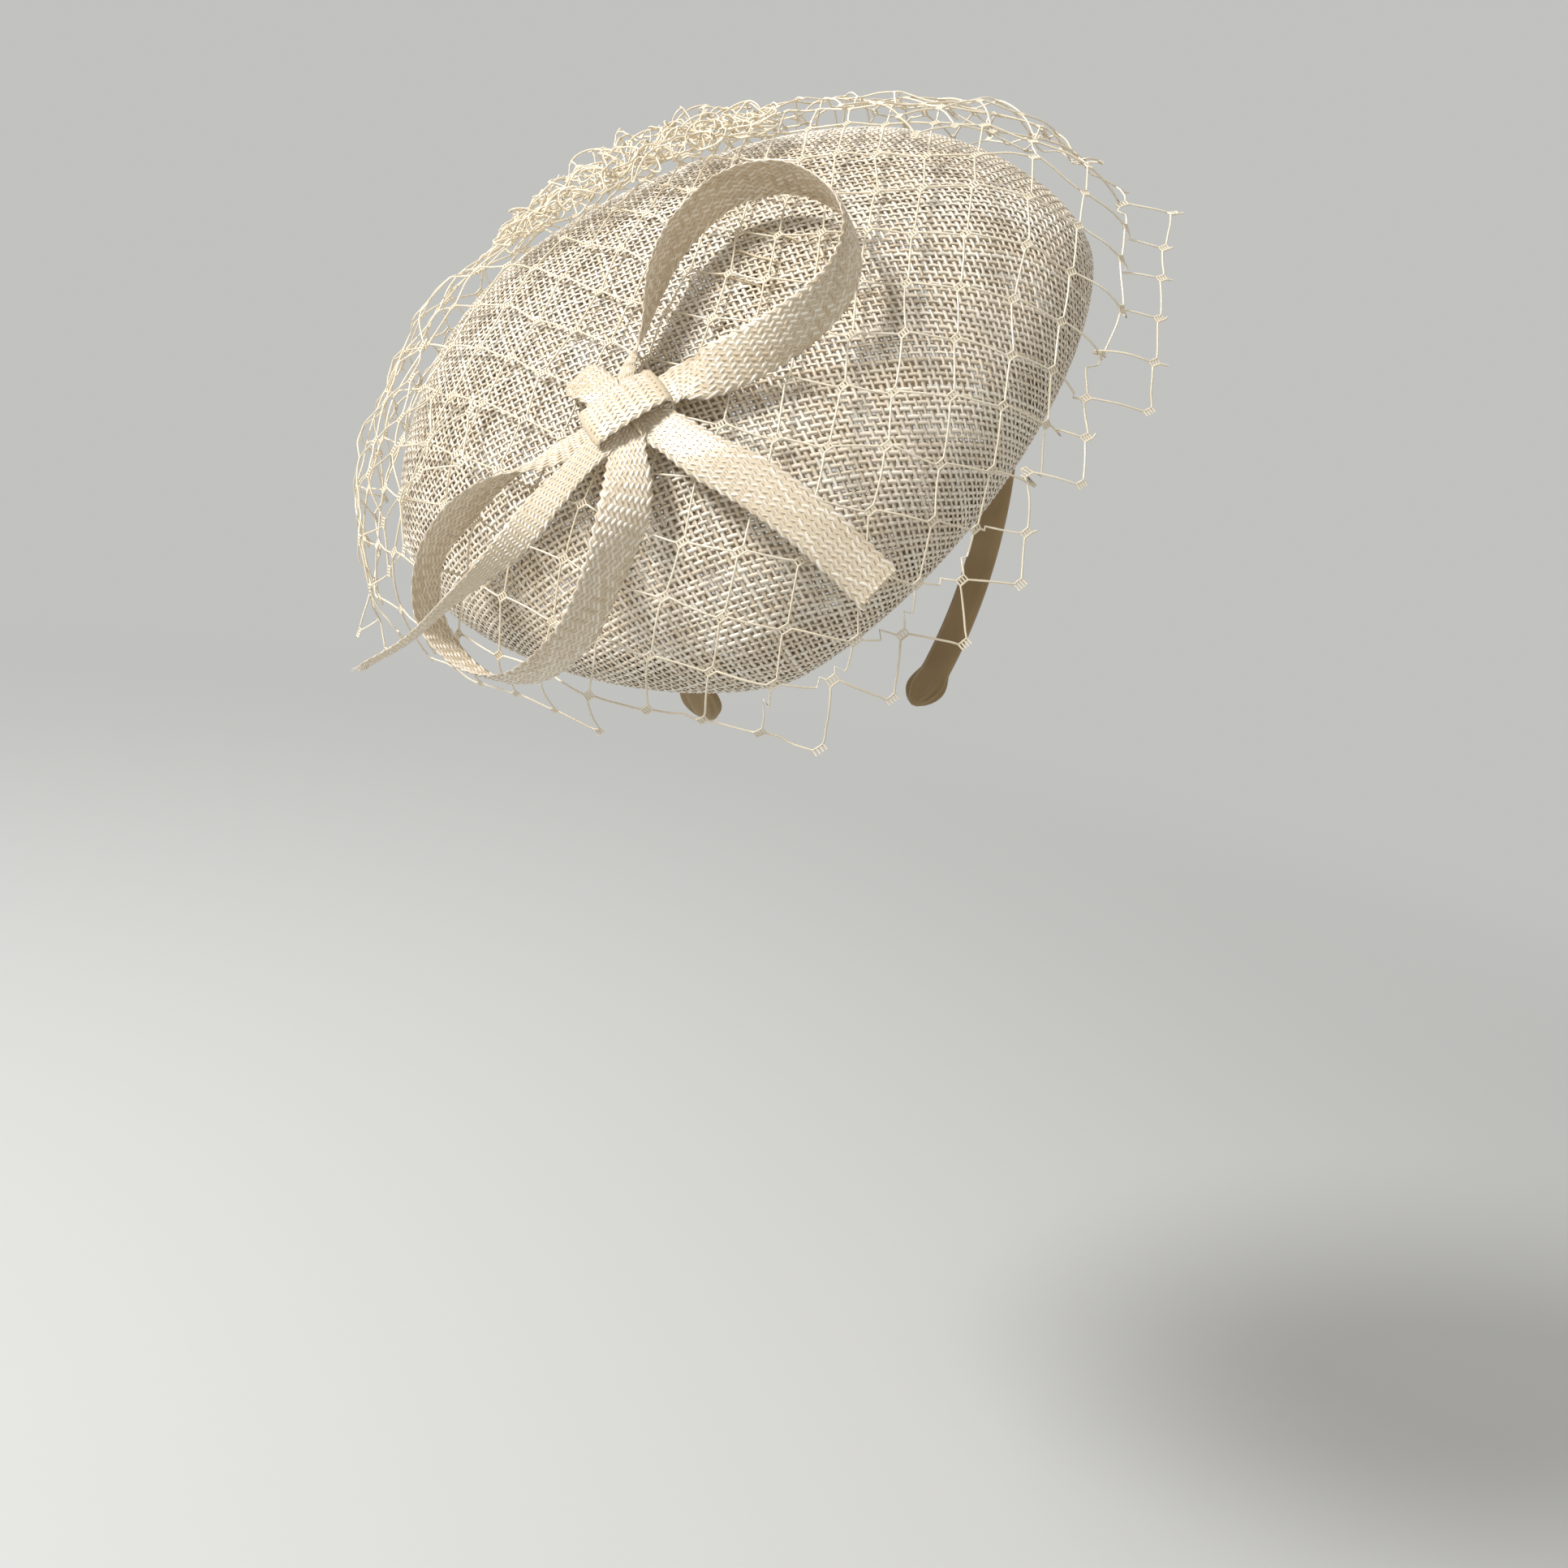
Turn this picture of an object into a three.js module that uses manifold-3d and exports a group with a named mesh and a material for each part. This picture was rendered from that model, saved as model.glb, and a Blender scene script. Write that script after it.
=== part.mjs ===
// A fascinator headpiece: an egg-shaped woven-straw crown with a veil and a ribbon bow,
// sewn on a fabric-covered headband. Millimetres, +Z up, the wearer faces -Y.
// The origin is where the inside of the headband's arch rests on the head.
import * as THREE from "three";
import { mergeVertices } from "three/addons/utils/BufferGeometryUtils.js";
import Module from "manifold-3d";

const wasm = await Module();
wasm.setup();

// ---------------------------------------------------------------- driving dimensions

const GAP = 0.3;

// Headband: a C in the plane Y = 0, an arch arc and, on each side, a flatter arm arc.
const ARCH_RADIUS = 67.5;
const ARCH_ANGLE = 71;
const ARM_RADIUS = 93;
const TIP_ANGLE = 130;
const BAND_WIDTH = 10;
const BAND_THICKNESS = 3.2;
const WRAP_WALL = 0.6;
const CORE_WIDTH = 7.4;
const CORE_THICKNESS = 1.4;
const CAP_ANGLE = 8;
const CAP_SWELL = 1.28;

// Where the arms take over from the crown section of the band, and start to flex.
const RIGHT_ARM_ANGLE = -63;
const LEFT_ARM_ANGLE = 29;

// Hat: its own frame has its origin at the middle of the widest line and +Z along the crown's axis.
const HAT_PLACE = [-33.9, 20.1, 10.3 - ARCH_RADIUS + BAND_THICKNESS / 2];
const HAT_SIDE = 189;
const HAT_TILT = 55;
const HAT_SPIN = 133;

// Crown: plan of mean radius CROWN_RADIUS, a flattened dome above and a quarter-round turn below.
const CROWN_RADIUS = 87.7;
const CROWN_HEIGHT = 42.3;
const SHOULDER_POWER = 2.8;
const TOP_POWER = 1.75;
const TURN_IN = 8.3;
const TURN_DROP = 9;
const MOUTH_RADIUS = CROWN_RADIUS - TURN_IN;
const SHELL_THICKNESS = 1;
const LINING_THICKNESS = 0.6;
const LINING_OFFSET = SHELL_THICKNESS + GAP;
const LAYERS = LINING_OFFSET + LINING_THICKNESS;

// The plan departs from a circle by waves of its support distance: [count, share, phase].
const PLAN_WAVES = [
  [2, 0.088, 4],
  [3, 0.04, 20],
  [4, 0.018, -2],
  [5, 0.02, -20],
];

// Rim hardware at the mouth.
const WIRE_RADIUS = 0.6;
const WIRE_INSET = 1.4;
const SLEEVE_WALL = 0.25;
const SLEEVE_CLEARANCE = 0.25;
const SLEEVE_ARC = 7;
const JOIN_ANGLE = 155;
const BINDING_WALL = 0.45;
const BINDING_FLANGE = 1.8;
const SWEATBAND_HEIGHT = 11;
const SWEATBAND_THICKNESS = 0.6;

// Veil: it lies on the crown's top, stands off at the shoulder and runs past the rim.
const VEIL_THICKNESS = 0.6;
const VEIL_REST = 1.3;
const VEIL_STANDOFF = 6;
const VEIL_EDGE = 1.1;
const VEIL_FRONT_EDGE = 0.14;
const VEIL_FRONT_ANGLE = -38;
const VEIL_EDGE_Z = -5;

// Bow: one straw ribbon.
const RIBBON_WIDTH = 12;
const RIBBON_THICKNESS = 0.7;
const KNOT_CENTRE = [-19.3, -34, 40.6];
const BOW_LIFT = 0.7;
const KNOT_LENGTH = 20;
const KNOT_WIDTH = 12.5;
const KNOT_LOW = 2.9;
const KNOT_RISE = 4.6;
const KNOT_DIRECTION = 12;

// Thread.
const THREAD_RADIUS = 0.35;
const NEEDLE_HOLE = THREAD_RADIUS + 0.35;

// Tacks along the band, and how far over its middle the crown's outer face is, front and back.
const CROWN_TACKS = [
  { angle: -46, heights: [5.35, 7.25] },
  { angle: -52, heights: [4.85, 7.05] },
  { angle: -58, heights: [4.85, 7.4] },
];

// Counts.
const PLAN_STEPS = 36;
const DOME_STEPS = 8;
const TURN_STEPS = 4;
const BAND_STEP = 6.5;
const RIBBON_STEPS = 22;
const THREAD_STEPS = 16;
const THREAD_SIDES = 6;

// ---------------------------------------------------------------- materials

const straw = new THREE.MeshStandardMaterial({ color: 0xd9c8a6, roughness: 0.55, metalness: 0 });
const strawLining = new THREE.MeshStandardMaterial({ color: 0xcdb994, roughness: 0.7, metalness: 0 });
const ribbonStraw = new THREE.MeshStandardMaterial({ color: 0xe2d2b1, roughness: 0.4, metalness: 0 });
const netThread = new THREE.MeshStandardMaterial({ color: 0xe6d6ad, roughness: 0.45, metalness: 0 });
const bandFabric = new THREE.MeshStandardMaterial({ color: 0x73593a, roughness: 0.8, metalness: 0 });
const petersham = new THREE.MeshStandardMaterial({ color: 0xd8c9ac, roughness: 0.75, metalness: 0 });
const sewingThread = new THREE.MeshStandardMaterial({ color: 0xe8dcc2, roughness: 0.6, metalness: 0 });
const springSteel = new THREE.MeshStandardMaterial({ color: 0x8d8f92, roughness: 0.35, metalness: 1 });
const millineryWire = new THREE.MeshStandardMaterial({ color: 0xb9b4a8, roughness: 0.5, metalness: 1 });

// ---------------------------------------------------------------- helpers

const radians = THREE.MathUtils.degToRad;
const vector = (x, y, z) => new THREE.Vector3(x, y, z);

// Joins a row of rings of equal count into a closed surface. An open row gets a cap at each end.
function skin(rings, closedRow) {
  const count = rings[0].length;
  const positions = rings.flat().flatMap((p) => p.toArray());
  const faces = [];
  const at = (i, j) => (i % rings.length) * count + (j % count);
  const spans = closedRow ? rings.length : rings.length - 1;
  for (let i = 0; i < spans; i++) {
    for (let j = 0; j < count; j++) {
      faces.push(at(i, j), at(i, j + 1), at(i + 1, j + 1));
      faces.push(at(i, j), at(i + 1, j + 1), at(i + 1, j));
    }
  }
  const last = rings.length - 1;
  for (let j = 1; !closedRow && j < count - 1; j++) {
    faces.push(at(0, 0), at(0, j + 1), at(0, j));
    faces.push(at(last, 0), at(last, j), at(last, j + 1));
  }
  const geometry = new THREE.BufferGeometry();
  geometry.setAttribute("position", new THREE.Float32BufferAttribute(positions, 3));
  geometry.setIndex(faces);
  geometry.computeVertexNormals();
  return geometry;
}

// A section's ring at a frame { point, side, up }, where side x up is the way forward.
function ringAt(frame, section) {
  return section.map(([a, b]) =>
    frame.point.clone().addScaledVector(frame.side, a).addScaledVector(frame.up, b),
  );
}

function oblong(width, thickness, corner = 0.3) {
  const w = width / 2;
  const h = thickness / 2;
  const c = corner * h;
  return [
    [c - w, -h], [w - c, -h], [w, c - h], [w, h - c],
    [w - c, h], [c - w, h], [-w, h - c], [-w, c - h],
  ];
}

// A flat section with square edges.
function plank(width, thickness) {
  const w = width / 2;
  const h = thickness / 2;
  return [[-w, -h], [w, -h], [w, h], [-w, h]];
}

function disc(radius, sides = THREAD_SIDES) {
  return Array.from({ length: sides }, (_, i) => {
    const turn = (2 * Math.PI * i) / sides;
    return [radius * Math.cos(turn), radius * Math.sin(turn)];
  });
}

const sweep = (frames, section) => skin(frames.map((frame) => ringAt(frame, section)), false);

// A pipe open at both ends: outer rings forward, then inner rings back.
function pipe(frames, outer, inner) {
  const out = frames.map((frame) => ringAt(frame, outer));
  const back = frames.map((frame) => ringAt(frame, inner)).reverse();
  return skin([...out, ...back], true);
}

function node(name, geometry, material) {
  const mesh = new THREE.Mesh(geometry, material);
  mesh.name = name;
  return mesh;
}

// ---------------------------------------------------------------- headband

// The band's middle at an angle from the top of the arch: + is the wearer's left, toward +X.
function bandFrame(angle) {
  const bend = radians(THREE.MathUtils.clamp(angle, -ARCH_ANGLE, ARCH_ANGLE));
  const turn = radians(angle);
  const shift = ARCH_RADIUS - ARM_RADIUS;
  const up = vector(Math.sin(turn), 0, Math.cos(turn));
  const point = up.clone().multiplyScalar(ARM_RADIUS);
  point.addScaledVector(vector(Math.sin(bend), 0, Math.cos(bend)), shift);
  point.z -= ARCH_RADIUS - BAND_THICKNESS / 2;
  return { point, side: vector(0, 1, 0), up };
}

function bandFrames(from, to) {
  const steps = Math.max(1, Math.round((to - from) / BAND_STEP));
  return Array.from({ length: steps + 1 }, (_, i) => bandFrame(from + ((to - from) * i) / steps));
}

// Half of the gap that neighbours keep along the band, as an angle of the arch.
const SPLIT = THREE.MathUtils.radToDeg(GAP / 2 / ARCH_RADIUS);
const BAND_SPANS = {
  arm_right_side: [CAP_ANGLE - TIP_ANGLE + SPLIT, RIGHT_ARM_ANGLE - SPLIT],
  crown_section: [RIGHT_ARM_ANGLE + SPLIT, LEFT_ARM_ANGLE - SPLIT],
  arm_left_side: [LEFT_ARM_ANGLE + SPLIT, TIP_ANGLE - CAP_ANGLE - SPLIT],
};

function bandPieces() {
  const group = new THREE.Group();
  const cavityWidth = CORE_WIDTH + 2 * GAP;
  const cavityThickness = BAND_THICKNESS - 2 * WRAP_WALL;
  for (const [part, [from, to]] of Object.entries(BAND_SPANS)) {
    const frames = bandFrames(from, to);
    group.add(node(`band_core_${part}`, sweep(frames, oblong(CORE_WIDTH, CORE_THICKNESS)), springSteel));
    const outer = oblong(BAND_WIDTH, BAND_THICKNESS, 0.6);
    const wrap = pipe(frames, outer, oblong(cavityWidth, cavityThickness));
    group.add(node(`band_cover_${part}`, wrap, bandFabric));
  }
  return group;
}

// The gathered end: it swells, then closes on a blunt round tip.
function bandEnd(name, direction) {
  const steps = 8;
  const frames = Array.from({ length: steps + 1 }, (_, i) => {
    const along = TIP_ANGLE - CAP_ANGLE + SPLIT + ((CAP_ANGLE - SPLIT) * i) / steps;
    return bandFrame(direction * along);
  });
  const rings = frames.map((frame, i) => {
    const t = i / steps;
    const swell = 1 + (CAP_SWELL - 1) * Math.sin(Math.PI * Math.min(1, t * 1.1));
    const close = Math.sqrt(1 - (0.97 * t) ** 4);
    return ringAt(frame, oblong(BAND_WIDTH * swell * close, (BAND_THICKNESS + 1.4 * t) * close, 0.8));
  });
  if (direction < 0) rings.reverse();
  return node(name, skin(rings, false), bandFabric);
}

// ---------------------------------------------------------------- crown

// A point of the plan's edge, by the direction that its outward normal faces.
function planEdge(turn) {
  let reach = 1;
  let slope = 0;
  for (const [count, share, phase] of PLAN_WAVES) {
    const wave = count * (turn - radians(phase));
    reach += share * Math.cos(wave);
    slope -= count * share * Math.sin(wave);
  }
  const x = reach * Math.cos(turn) - slope * Math.sin(turn);
  const y = reach * Math.sin(turn) + slope * Math.cos(turn);
  return [x, y];
}

// The plan at a mean radius and a height.
function planPoint(turn, radius, z) {
  const [x, y] = planEdge(turn);
  return vector(x * radius, y * radius, z);
}

const planTurns = Array.from({ length: PLAN_STEPS }, (_, i) => (2 * Math.PI * i) / PLAN_STEPS);

// Rings round the plan through a profile of [radius, z] points, counter-clockwise about the wall.
function blocked(profile, closedRow) {
  const rings = profile.map(([radius, z]) => planTurns.map((turn) => planPoint(turn, radius, z)));
  return skin(rings, closedRow);
}

// Height of the crown's outer face over its widest line, by share of the mean radius.
function domeHeight(share) {
  return CROWN_HEIGHT * (1 - share ** SHOULDER_POWER) ** (1 / TOP_POWER);
}

// From the top to the mouth, at a depth under the outer face.
function crownProfile(depth) {
  const profile = [];
  for (let i = 0; i <= DOME_STEPS; i++) {
    const share = Math.sin((Math.PI / 2) * (0.04 + (0.96 * i) / DOME_STEPS)) ** (2 / SHOULDER_POWER);
    profile.push([(CROWN_RADIUS - depth) * share, domeHeight(share) * (1 - depth / CROWN_HEIGHT)]);
  }
  for (let i = 1; i <= TURN_STEPS; i++) {
    const turn = (Math.PI / 2) * (i / TURN_STEPS);
    const radius = MOUTH_RADIUS + (TURN_IN - depth) * Math.cos(turn);
    profile.push([radius, (depth - TURN_DROP) * Math.sin(turn)]);
  }
  return profile;
}

function shellBetween(outerDepth, innerDepth) {
  return blocked([...crownProfile(innerDepth), ...crownProfile(outerDepth).reverse()], false);
}

const EDGE_Z = LAYERS / 2 - TURN_DROP;

// Frames that run round the mouth at a mean radius, stopping where the crown's own facets turn.
function rimFrames(radius, z, from, to) {
  const facet = 360 / PLAN_STEPS;
  const angles = [from];
  for (let angle = (Math.floor(from / facet) + 1) * facet; angle < to; angle += facet) angles.push(angle);
  angles.push(to);
  return angles.map((angle) => {
    const turn = radians(angle);
    const side = vector(Math.cos(turn), Math.sin(turn), 0);
    return { point: planPoint(turn, radius, z), side, up: vector(0, 0, -1) };
  });
}

function rimWire() {
  const clear = 0.5;
  const radius = MOUTH_RADIUS - WIRE_INSET;
  const frames = rimFrames(radius, EDGE_Z, JOIN_ANGLE + clear, JOIN_ANGLE + 360 - clear);
  return node("rim_wire", sweep(frames, disc(WIRE_RADIUS)), millineryWire);
}

function rimWireJoiner() {
  const bore = WIRE_RADIUS + SLEEVE_CLEARANCE;
  const radius = MOUTH_RADIUS - WIRE_INSET;
  const frames = rimFrames(radius, EDGE_Z, JOIN_ANGLE - SLEEVE_ARC / 2, JOIN_ANGLE + SLEEVE_ARC / 2);
  const sleeve = pipe(frames, disc(bore + SLEEVE_WALL, 8), disc(bore, 8));
  return node("rim_wire_joiner", sleeve, millineryWire);
}

// A strip folded round the wire and the cut edge of both straw layers.
function rimBinding() {
  const fold = MOUTH_RADIUS - WIRE_INSET - WIRE_RADIUS - SLEEVE_CLEARANCE - SLEEVE_WALL - GAP;
  const lip = MOUTH_RADIUS + BINDING_FLANGE;
  const half = LAYERS / 2 + 0.55;
  const profile = [
    [fold - BINDING_WALL, EDGE_Z - half],
    [fold, EDGE_Z - half - BINDING_WALL],
    [lip, EDGE_Z - half - BINDING_WALL],
    [lip, EDGE_Z - half],
    [fold, EDGE_Z - half],
    [fold, EDGE_Z + half],
    [lip, EDGE_Z + half],
    [lip, EDGE_Z + half + BINDING_WALL],
    [fold, EDGE_Z + half + BINDING_WALL],
    [fold - BINDING_WALL, EDGE_Z + half],
  ];
  return node("rim_binding", blocked(profile, true), petersham);
}

function sweatband() {
  const inside = MOUTH_RADIUS + 3.2;
  const outside = inside + SWEATBAND_THICKNESS;
  const bottom = -5.1;
  const top = bottom + SWEATBAND_HEIGHT;
  const profile = [[inside, bottom], [outside, bottom], [outside, top], [inside, top]];
  return node("sweatband", blocked(profile, true), petersham);
}

// ---------------------------------------------------------------- veil

// How far past the rim the veil's free edge reaches: furthest over the wearer's brow.
function veilEdge(turn) {
  const front = Math.max(0, Math.cos(turn - radians(VEIL_FRONT_ANGLE)));
  return CROWN_RADIUS * (VEIL_EDGE + VEIL_FRONT_EDGE * front ** 2);
}

function veilRings(lift) {
  const rings = [];
  for (let i = 0; i <= DOME_STEPS; i++) {
    const share = Math.sin((Math.PI / 2) * (0.04 + (0.96 * i) / DOME_STEPS)) ** (2 / SHOULDER_POWER);
    const off = VEIL_REST + lift + VEIL_STANDOFF * share ** 5;
    const radius = CROWN_RADIUS * share + off * share ** 2;
    const z = domeHeight(share) + off * (1 - 0.6 * share ** 6);
    rings.push(planTurns.map((turn) => planPoint(turn, radius, z)));
  }
  const apronSteps = 3;
  const [hemRadius, hemZ] = [CROWN_RADIUS + VEIL_STANDOFF + VEIL_REST + lift, 3];
  for (let i = 1; i <= apronSteps; i++) {
    const t = i / apronSteps;
    const ring = planTurns.map((turn) => {
      const radius = THREE.MathUtils.lerp(hemRadius, veilEdge(turn) + lift, t);
      return planPoint(turn, radius, THREE.MathUtils.lerp(hemZ, VEIL_EDGE_Z, t ** 1.5) + lift * (1 - t));
    });
    rings.push(ring);
  }
  return rings;
}

function veilShell() {
  return skin([...veilRings(0), ...veilRings(VEIL_THICKNESS).reverse()], false);
}

// The bunched fold at the back, laid on the veil.
function veilGather() {
  const path = new THREE.CatmullRomCurve3([
    vector(-38, 47, 38.6), vector(-20, 50.5, 39.6), vector(0, 52, 40), vector(20, 49, 40), vector(36, 42, 40),
  ]);
  const steps = 12;
  const frames = Array.from({ length: steps + 1 }, (_, i) => {
    const forward = path.getTangentAt(i / steps);
    const up = vector(0, 0.35, 1).normalize();
    const side = up.clone().cross(forward).normalize();
    return { point: path.getPointAt(i / steps), side, up };
  });
  const rings = frames.map((frame, i) => {
    const fullness = Math.sin(Math.PI * (0.08 + (0.84 * i) / steps));
    return ringAt(frame, oblong(5 + 7 * fullness, 1.2 + 2.2 * fullness, 0.8));
  });
  return node("veil_gather", skin(rings, false), netThread);
}

// ---------------------------------------------------------------- bow

// A ribbon through points { at, face, width }, where face is the way its flat side looks.
function ribbon(name, stations) {
  const path = new THREE.CatmullRomCurve3(stations.map((s) => vector(...s.at)), false, "centripetal");
  const faces = new THREE.CatmullRomCurve3(stations.map((s) => vector(...s.face).normalize()));
  const widths = stations.map((s) => s.width ?? RIBBON_WIDTH);
  const rings = Array.from({ length: RIBBON_STEPS + 1 }, (_, i) => {
    const t = i / RIBBON_STEPS;
    const forward = path.getTangent(t);
    const side = faces.getPoint(t).cross(forward).normalize();
    const up = forward.clone().cross(side).normalize();
    const place = t * (widths.length - 1);
    const low = Math.min(Math.floor(place), widths.length - 2);
    const width = THREE.MathUtils.lerp(widths[low], widths[low + 1], place - low);
    const point = path.getPoint(t).add(vector(0, 0, BOW_LIFT));
    return ringAt({ point, side, up }, plank(width, RIBBON_THICKNESS));
  });
  return node(name, skin(rings, false), ribbonStraw);
}

function upperLoop() {
  return ribbon("bow_loop_upper", [
    { at: [-17, -22.6, 45], face: [-0.5, 0.2, 1], width: 8 },
    { at: [-10, -16, 48.5], face: [-1, 0.6, 0.6], width: 10 },
    { at: [-3, -6, 51], face: [-1, 0.7, 0.2] },
    { at: [7, 5, 52], face: [-0.7, 1, 0.1] },
    { at: [21, 11.5, 52], face: [-0.1, 1, 0.1] },
    { at: [35, 7, 51.2], face: [0.6, 0.8, 0.1] },
    { at: [42.5, -6, 50.2], face: [1, 0.2, 0.1] },
    { at: [42, -20, 49], face: [1, -0.4, 0.1] },
    { at: [34, -30.5, 48], face: [0.5, -1, 0.3] },
    { at: [18, -35.5, 47.4], face: [0.1, -1, 0.7] },
    { at: [2, -35.5, 46.6], face: [0.1, -0.6, 1] },
    { at: [-6.3, -32.6, 45], face: [0.1, -0.1, 1], width: 10 },
  ]);
}

function lowerLoop() {
  return ribbon("bow_loop_lower", [
    { at: [-31.5, -34.6, 42.8], face: [-0.2, 0.1, 1], width: 9 },
    { at: [-41, -34.8, 43], face: [-0.1, 0.5, 1] },
    { at: [-53, -33.5, 42], face: [-0.2, 1, 0.6] },
    { at: [-66, -33, 37.6], face: [-0.6, 1, 0.1] },
    { at: [-78.5, -36.5, 30.5], face: [-1, 0.5, -0.1] },
    { at: [-84.5, -46, 21.5], face: [-1, 0, -0.4] },
    { at: [-79.5, -59.5, 16], face: [-0.8, -0.6, -0.5] },
    { at: [-67, -70, 17], face: [-0.3, -1, -0.3] },
    { at: [-51, -73, 25.5], face: [0.3, -1, 0.1] },
    { at: [-37, -67, 34.5], face: [0.8, -0.7, 0.4] },
    { at: [-26, -56, 41.5], face: [0.6, -0.3, 0.9] },
    { at: [-22, -43.6, 43.6], face: [0.1, -0.1, 1], width: 9 },
  ]);
}

function rightTail() {
  return ribbon("bow_tail_right", [
    { at: [-12.5, -42.5, 43.4], face: [0.1, -0.4, 1], width: 10 },
    { at: [-6, -54, 42], face: [0.1, -0.6, 1], width: 11 },
    { at: [2, -64, 38.5], face: [0.2, -0.8, 1] },
    { at: [10.5, -77, 31.5], face: [0.2, -0.9, 1] },
    { at: [18, -90, 20], face: [0.2, -1, 0.8] },
  ]);
}

function leftTail() {
  return ribbon("bow_tail_left", [
    { at: [-32.5, -43.6, 45.6], face: [-0.1, -0.2, 1], width: 7 },
    { at: [-42, -51.5, 47.5], face: [-0.2, -0.5, 1], width: 8 },
    { at: [-52, -59, 47.5], face: [-0.1, -0.9, 0.6], width: 7 },
    { at: [-70, -61.5, 42], face: [0, -1, 0.3], width: 3.4 },
    { at: [-86, -59, 33], face: [0.1, -1, 0.2], width: 2.2 },
    { at: [-101, -55, 26.5], face: [0.1, -1, 0], width: 2.4 },
  ]);
}

// The short folded end that shows beside the knot.
function knotTuck() {
  return ribbon("bow_knot_tuck", [
    { at: [-24.5, -21.5, 44.6], face: [-0.3, 0.8, 1], width: 8 },
    { at: [-27, -16.5, 43.6], face: [-0.3, 0.6, 1], width: 9 },
    { at: [-28, -11.5, 43.1], face: [-0.2, 0.2, 1], width: 7 },
  ]);
}

// The wrap of the knot: a flattened loop of ribbon whose long side lies along the bow.
function knotWrap() {
  const steps = 20;
  const along = radians(KNOT_DIRECTION);
  const forward = vector(Math.cos(along), Math.sin(along), 0);
  const side = vector(-Math.sin(along), Math.cos(along), 0);
  const centre = vector(...KNOT_CENTRE);
  const rings = Array.from({ length: steps }, (_, i) => {
    const turn = (2 * Math.PI * i) / steps;
    const out = vector(Math.cos(turn), 0, Math.sin(turn));
    const flat = (value) => Math.sign(value) * Math.abs(value) ** 0.5;
    const x = (KNOT_LENGTH / 2) * flat(out.x);
    const z = KNOT_LOW + (KNOT_RISE / 2) * (1 + flat(out.z));
    const middle = centre.clone().addScaledVector(forward, x).add(vector(0, 0, z));
    const lean = vector(0, 0, Math.abs(out.z)).multiplyScalar(Math.sign(out.z));
    const up = lean.addScaledVector(forward, out.x).normalize();
    return ringAt({ point: middle, side, up }, plank(KNOT_WIDTH, RIBBON_THICKNESS)).reverse();
  });
  return node("bow_knot_wrap", skin(rings, true), ribbonStraw);
}

// ---------------------------------------------------------------- stitches

// A closed loop of thread through points.
function threadLoop(points, radius) {
  const path = new THREE.CatmullRomCurve3(points, true, "centripetal");
  const { tangents, normals, binormals } = path.computeFrenetFrames(THREAD_STEPS, true);
  const rings = tangents.slice(0, THREAD_STEPS).map((_, i) => {
    const point = path.getPointAt(i / THREAD_STEPS);
    return ringAt({ point, side: normals[i], up: binormals[i] }, disc(radius));
  });
  return skin(rings, true);
}

// Corners of an upright thread loop, from one height up to another on each side.
function loopPoints(centre, across, lift, halfWidth, low, [highFront, highBack]) {
  const corner = (a, b) => centre.clone().addScaledVector(across, a).addScaledVector(lift, b);
  return [
    corner(-halfWidth, highFront), corner(0, (highFront + highBack) / 2), corner(halfWidth, highBack),
    corner(halfWidth + 0.3, (low + highBack) / 2), corner(halfWidth, low), corner(0, low),
    corner(-halfWidth, low), corner(-halfWidth - 0.3, (low + highFront) / 2),
  ];
}

// Over the lower layer of the knot wrap, down through the veil and the crown, and tied inside.
function bowStitchPoints() {
  const along = radians(KNOT_DIRECTION);
  const across = vector(-Math.sin(along), Math.cos(along), 0);
  const high = KNOT_LOW + 1.4;
  return loopPoints(vector(...KNOT_CENTRE), across, vector(0, 0, 1), KNOT_WIDTH / 2 + 1.2, -4.4, [high, high]);
}

// Round the band and through both layers of the crown's top, in the hat's frame.
function crownTackPoints(hatFromPart, { angle, heights }) {
  const frame = bandFrame(angle);
  const centre = frame.point.clone().applyMatrix4(hatFromPart);
  const across = frame.side.clone().transformDirection(hatFromPart);
  const lift = frame.up.clone().transformDirection(hatFromPart);
  return loopPoints(centre, across, lift, BAND_WIDTH / 2 + 1, -BAND_THICKNESS / 2 - 0.9, heights);
}

// ---------------------------------------------------------------- joins and cuts

function solidOf(geometry) {
  const bare = geometry.clone();
  bare.deleteAttribute("normal");
  const merged = mergeVertices(bare, 1e-4);
  const vertProperties = new Float32Array(merged.attributes.position.array);
  const triVerts = new Uint32Array(merged.index.array);
  return new wasm.Manifold(new wasm.Mesh({ numProp: 3, vertProperties, triVerts }));
}

function geometryOf(solid) {
  const { vertProperties, triVerts } = solid.getMesh();
  const geometry = new THREE.BufferGeometry();
  geometry.setAttribute("position", new THREE.BufferAttribute(vertProperties, 3));
  geometry.setIndex(new THREE.BufferAttribute(triVerts, 1));
  geometry.computeVertexNormals();
  return geometry;
}

// Cuts needle holes where thread loops pass.
function pierced(geometry, loops) {
  let solid = solidOf(geometry);
  for (const points of loops) solid = solid.subtract(solidOf(threadLoop(points, NEEDLE_HOLE)));
  return geometryOf(solid);
}

// ---------------------------------------------------------------- assembly

// Nested groups turn the crown's axis from upright to its place beside the arch.
function hatFrame() {
  const place = new THREE.Group();
  place.position.set(...HAT_PLACE);
  place.rotation.z = radians(HAT_SIDE);
  const tilt = new THREE.Group();
  tilt.rotation.y = radians(HAT_TILT);
  const spin = new THREE.Group();
  spin.rotation.z = radians(HAT_SPIN);
  place.add(tilt);
  tilt.add(spin);
  return { place, spin };
}

const part = new THREE.Group();
const { place, spin: hat } = hatFrame();
part.add(bandPieces(), place);
part.add(bandEnd("band_end_right_side", -1), bandEnd("band_end_left_side", 1));
part.updateMatrixWorld(true);

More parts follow.
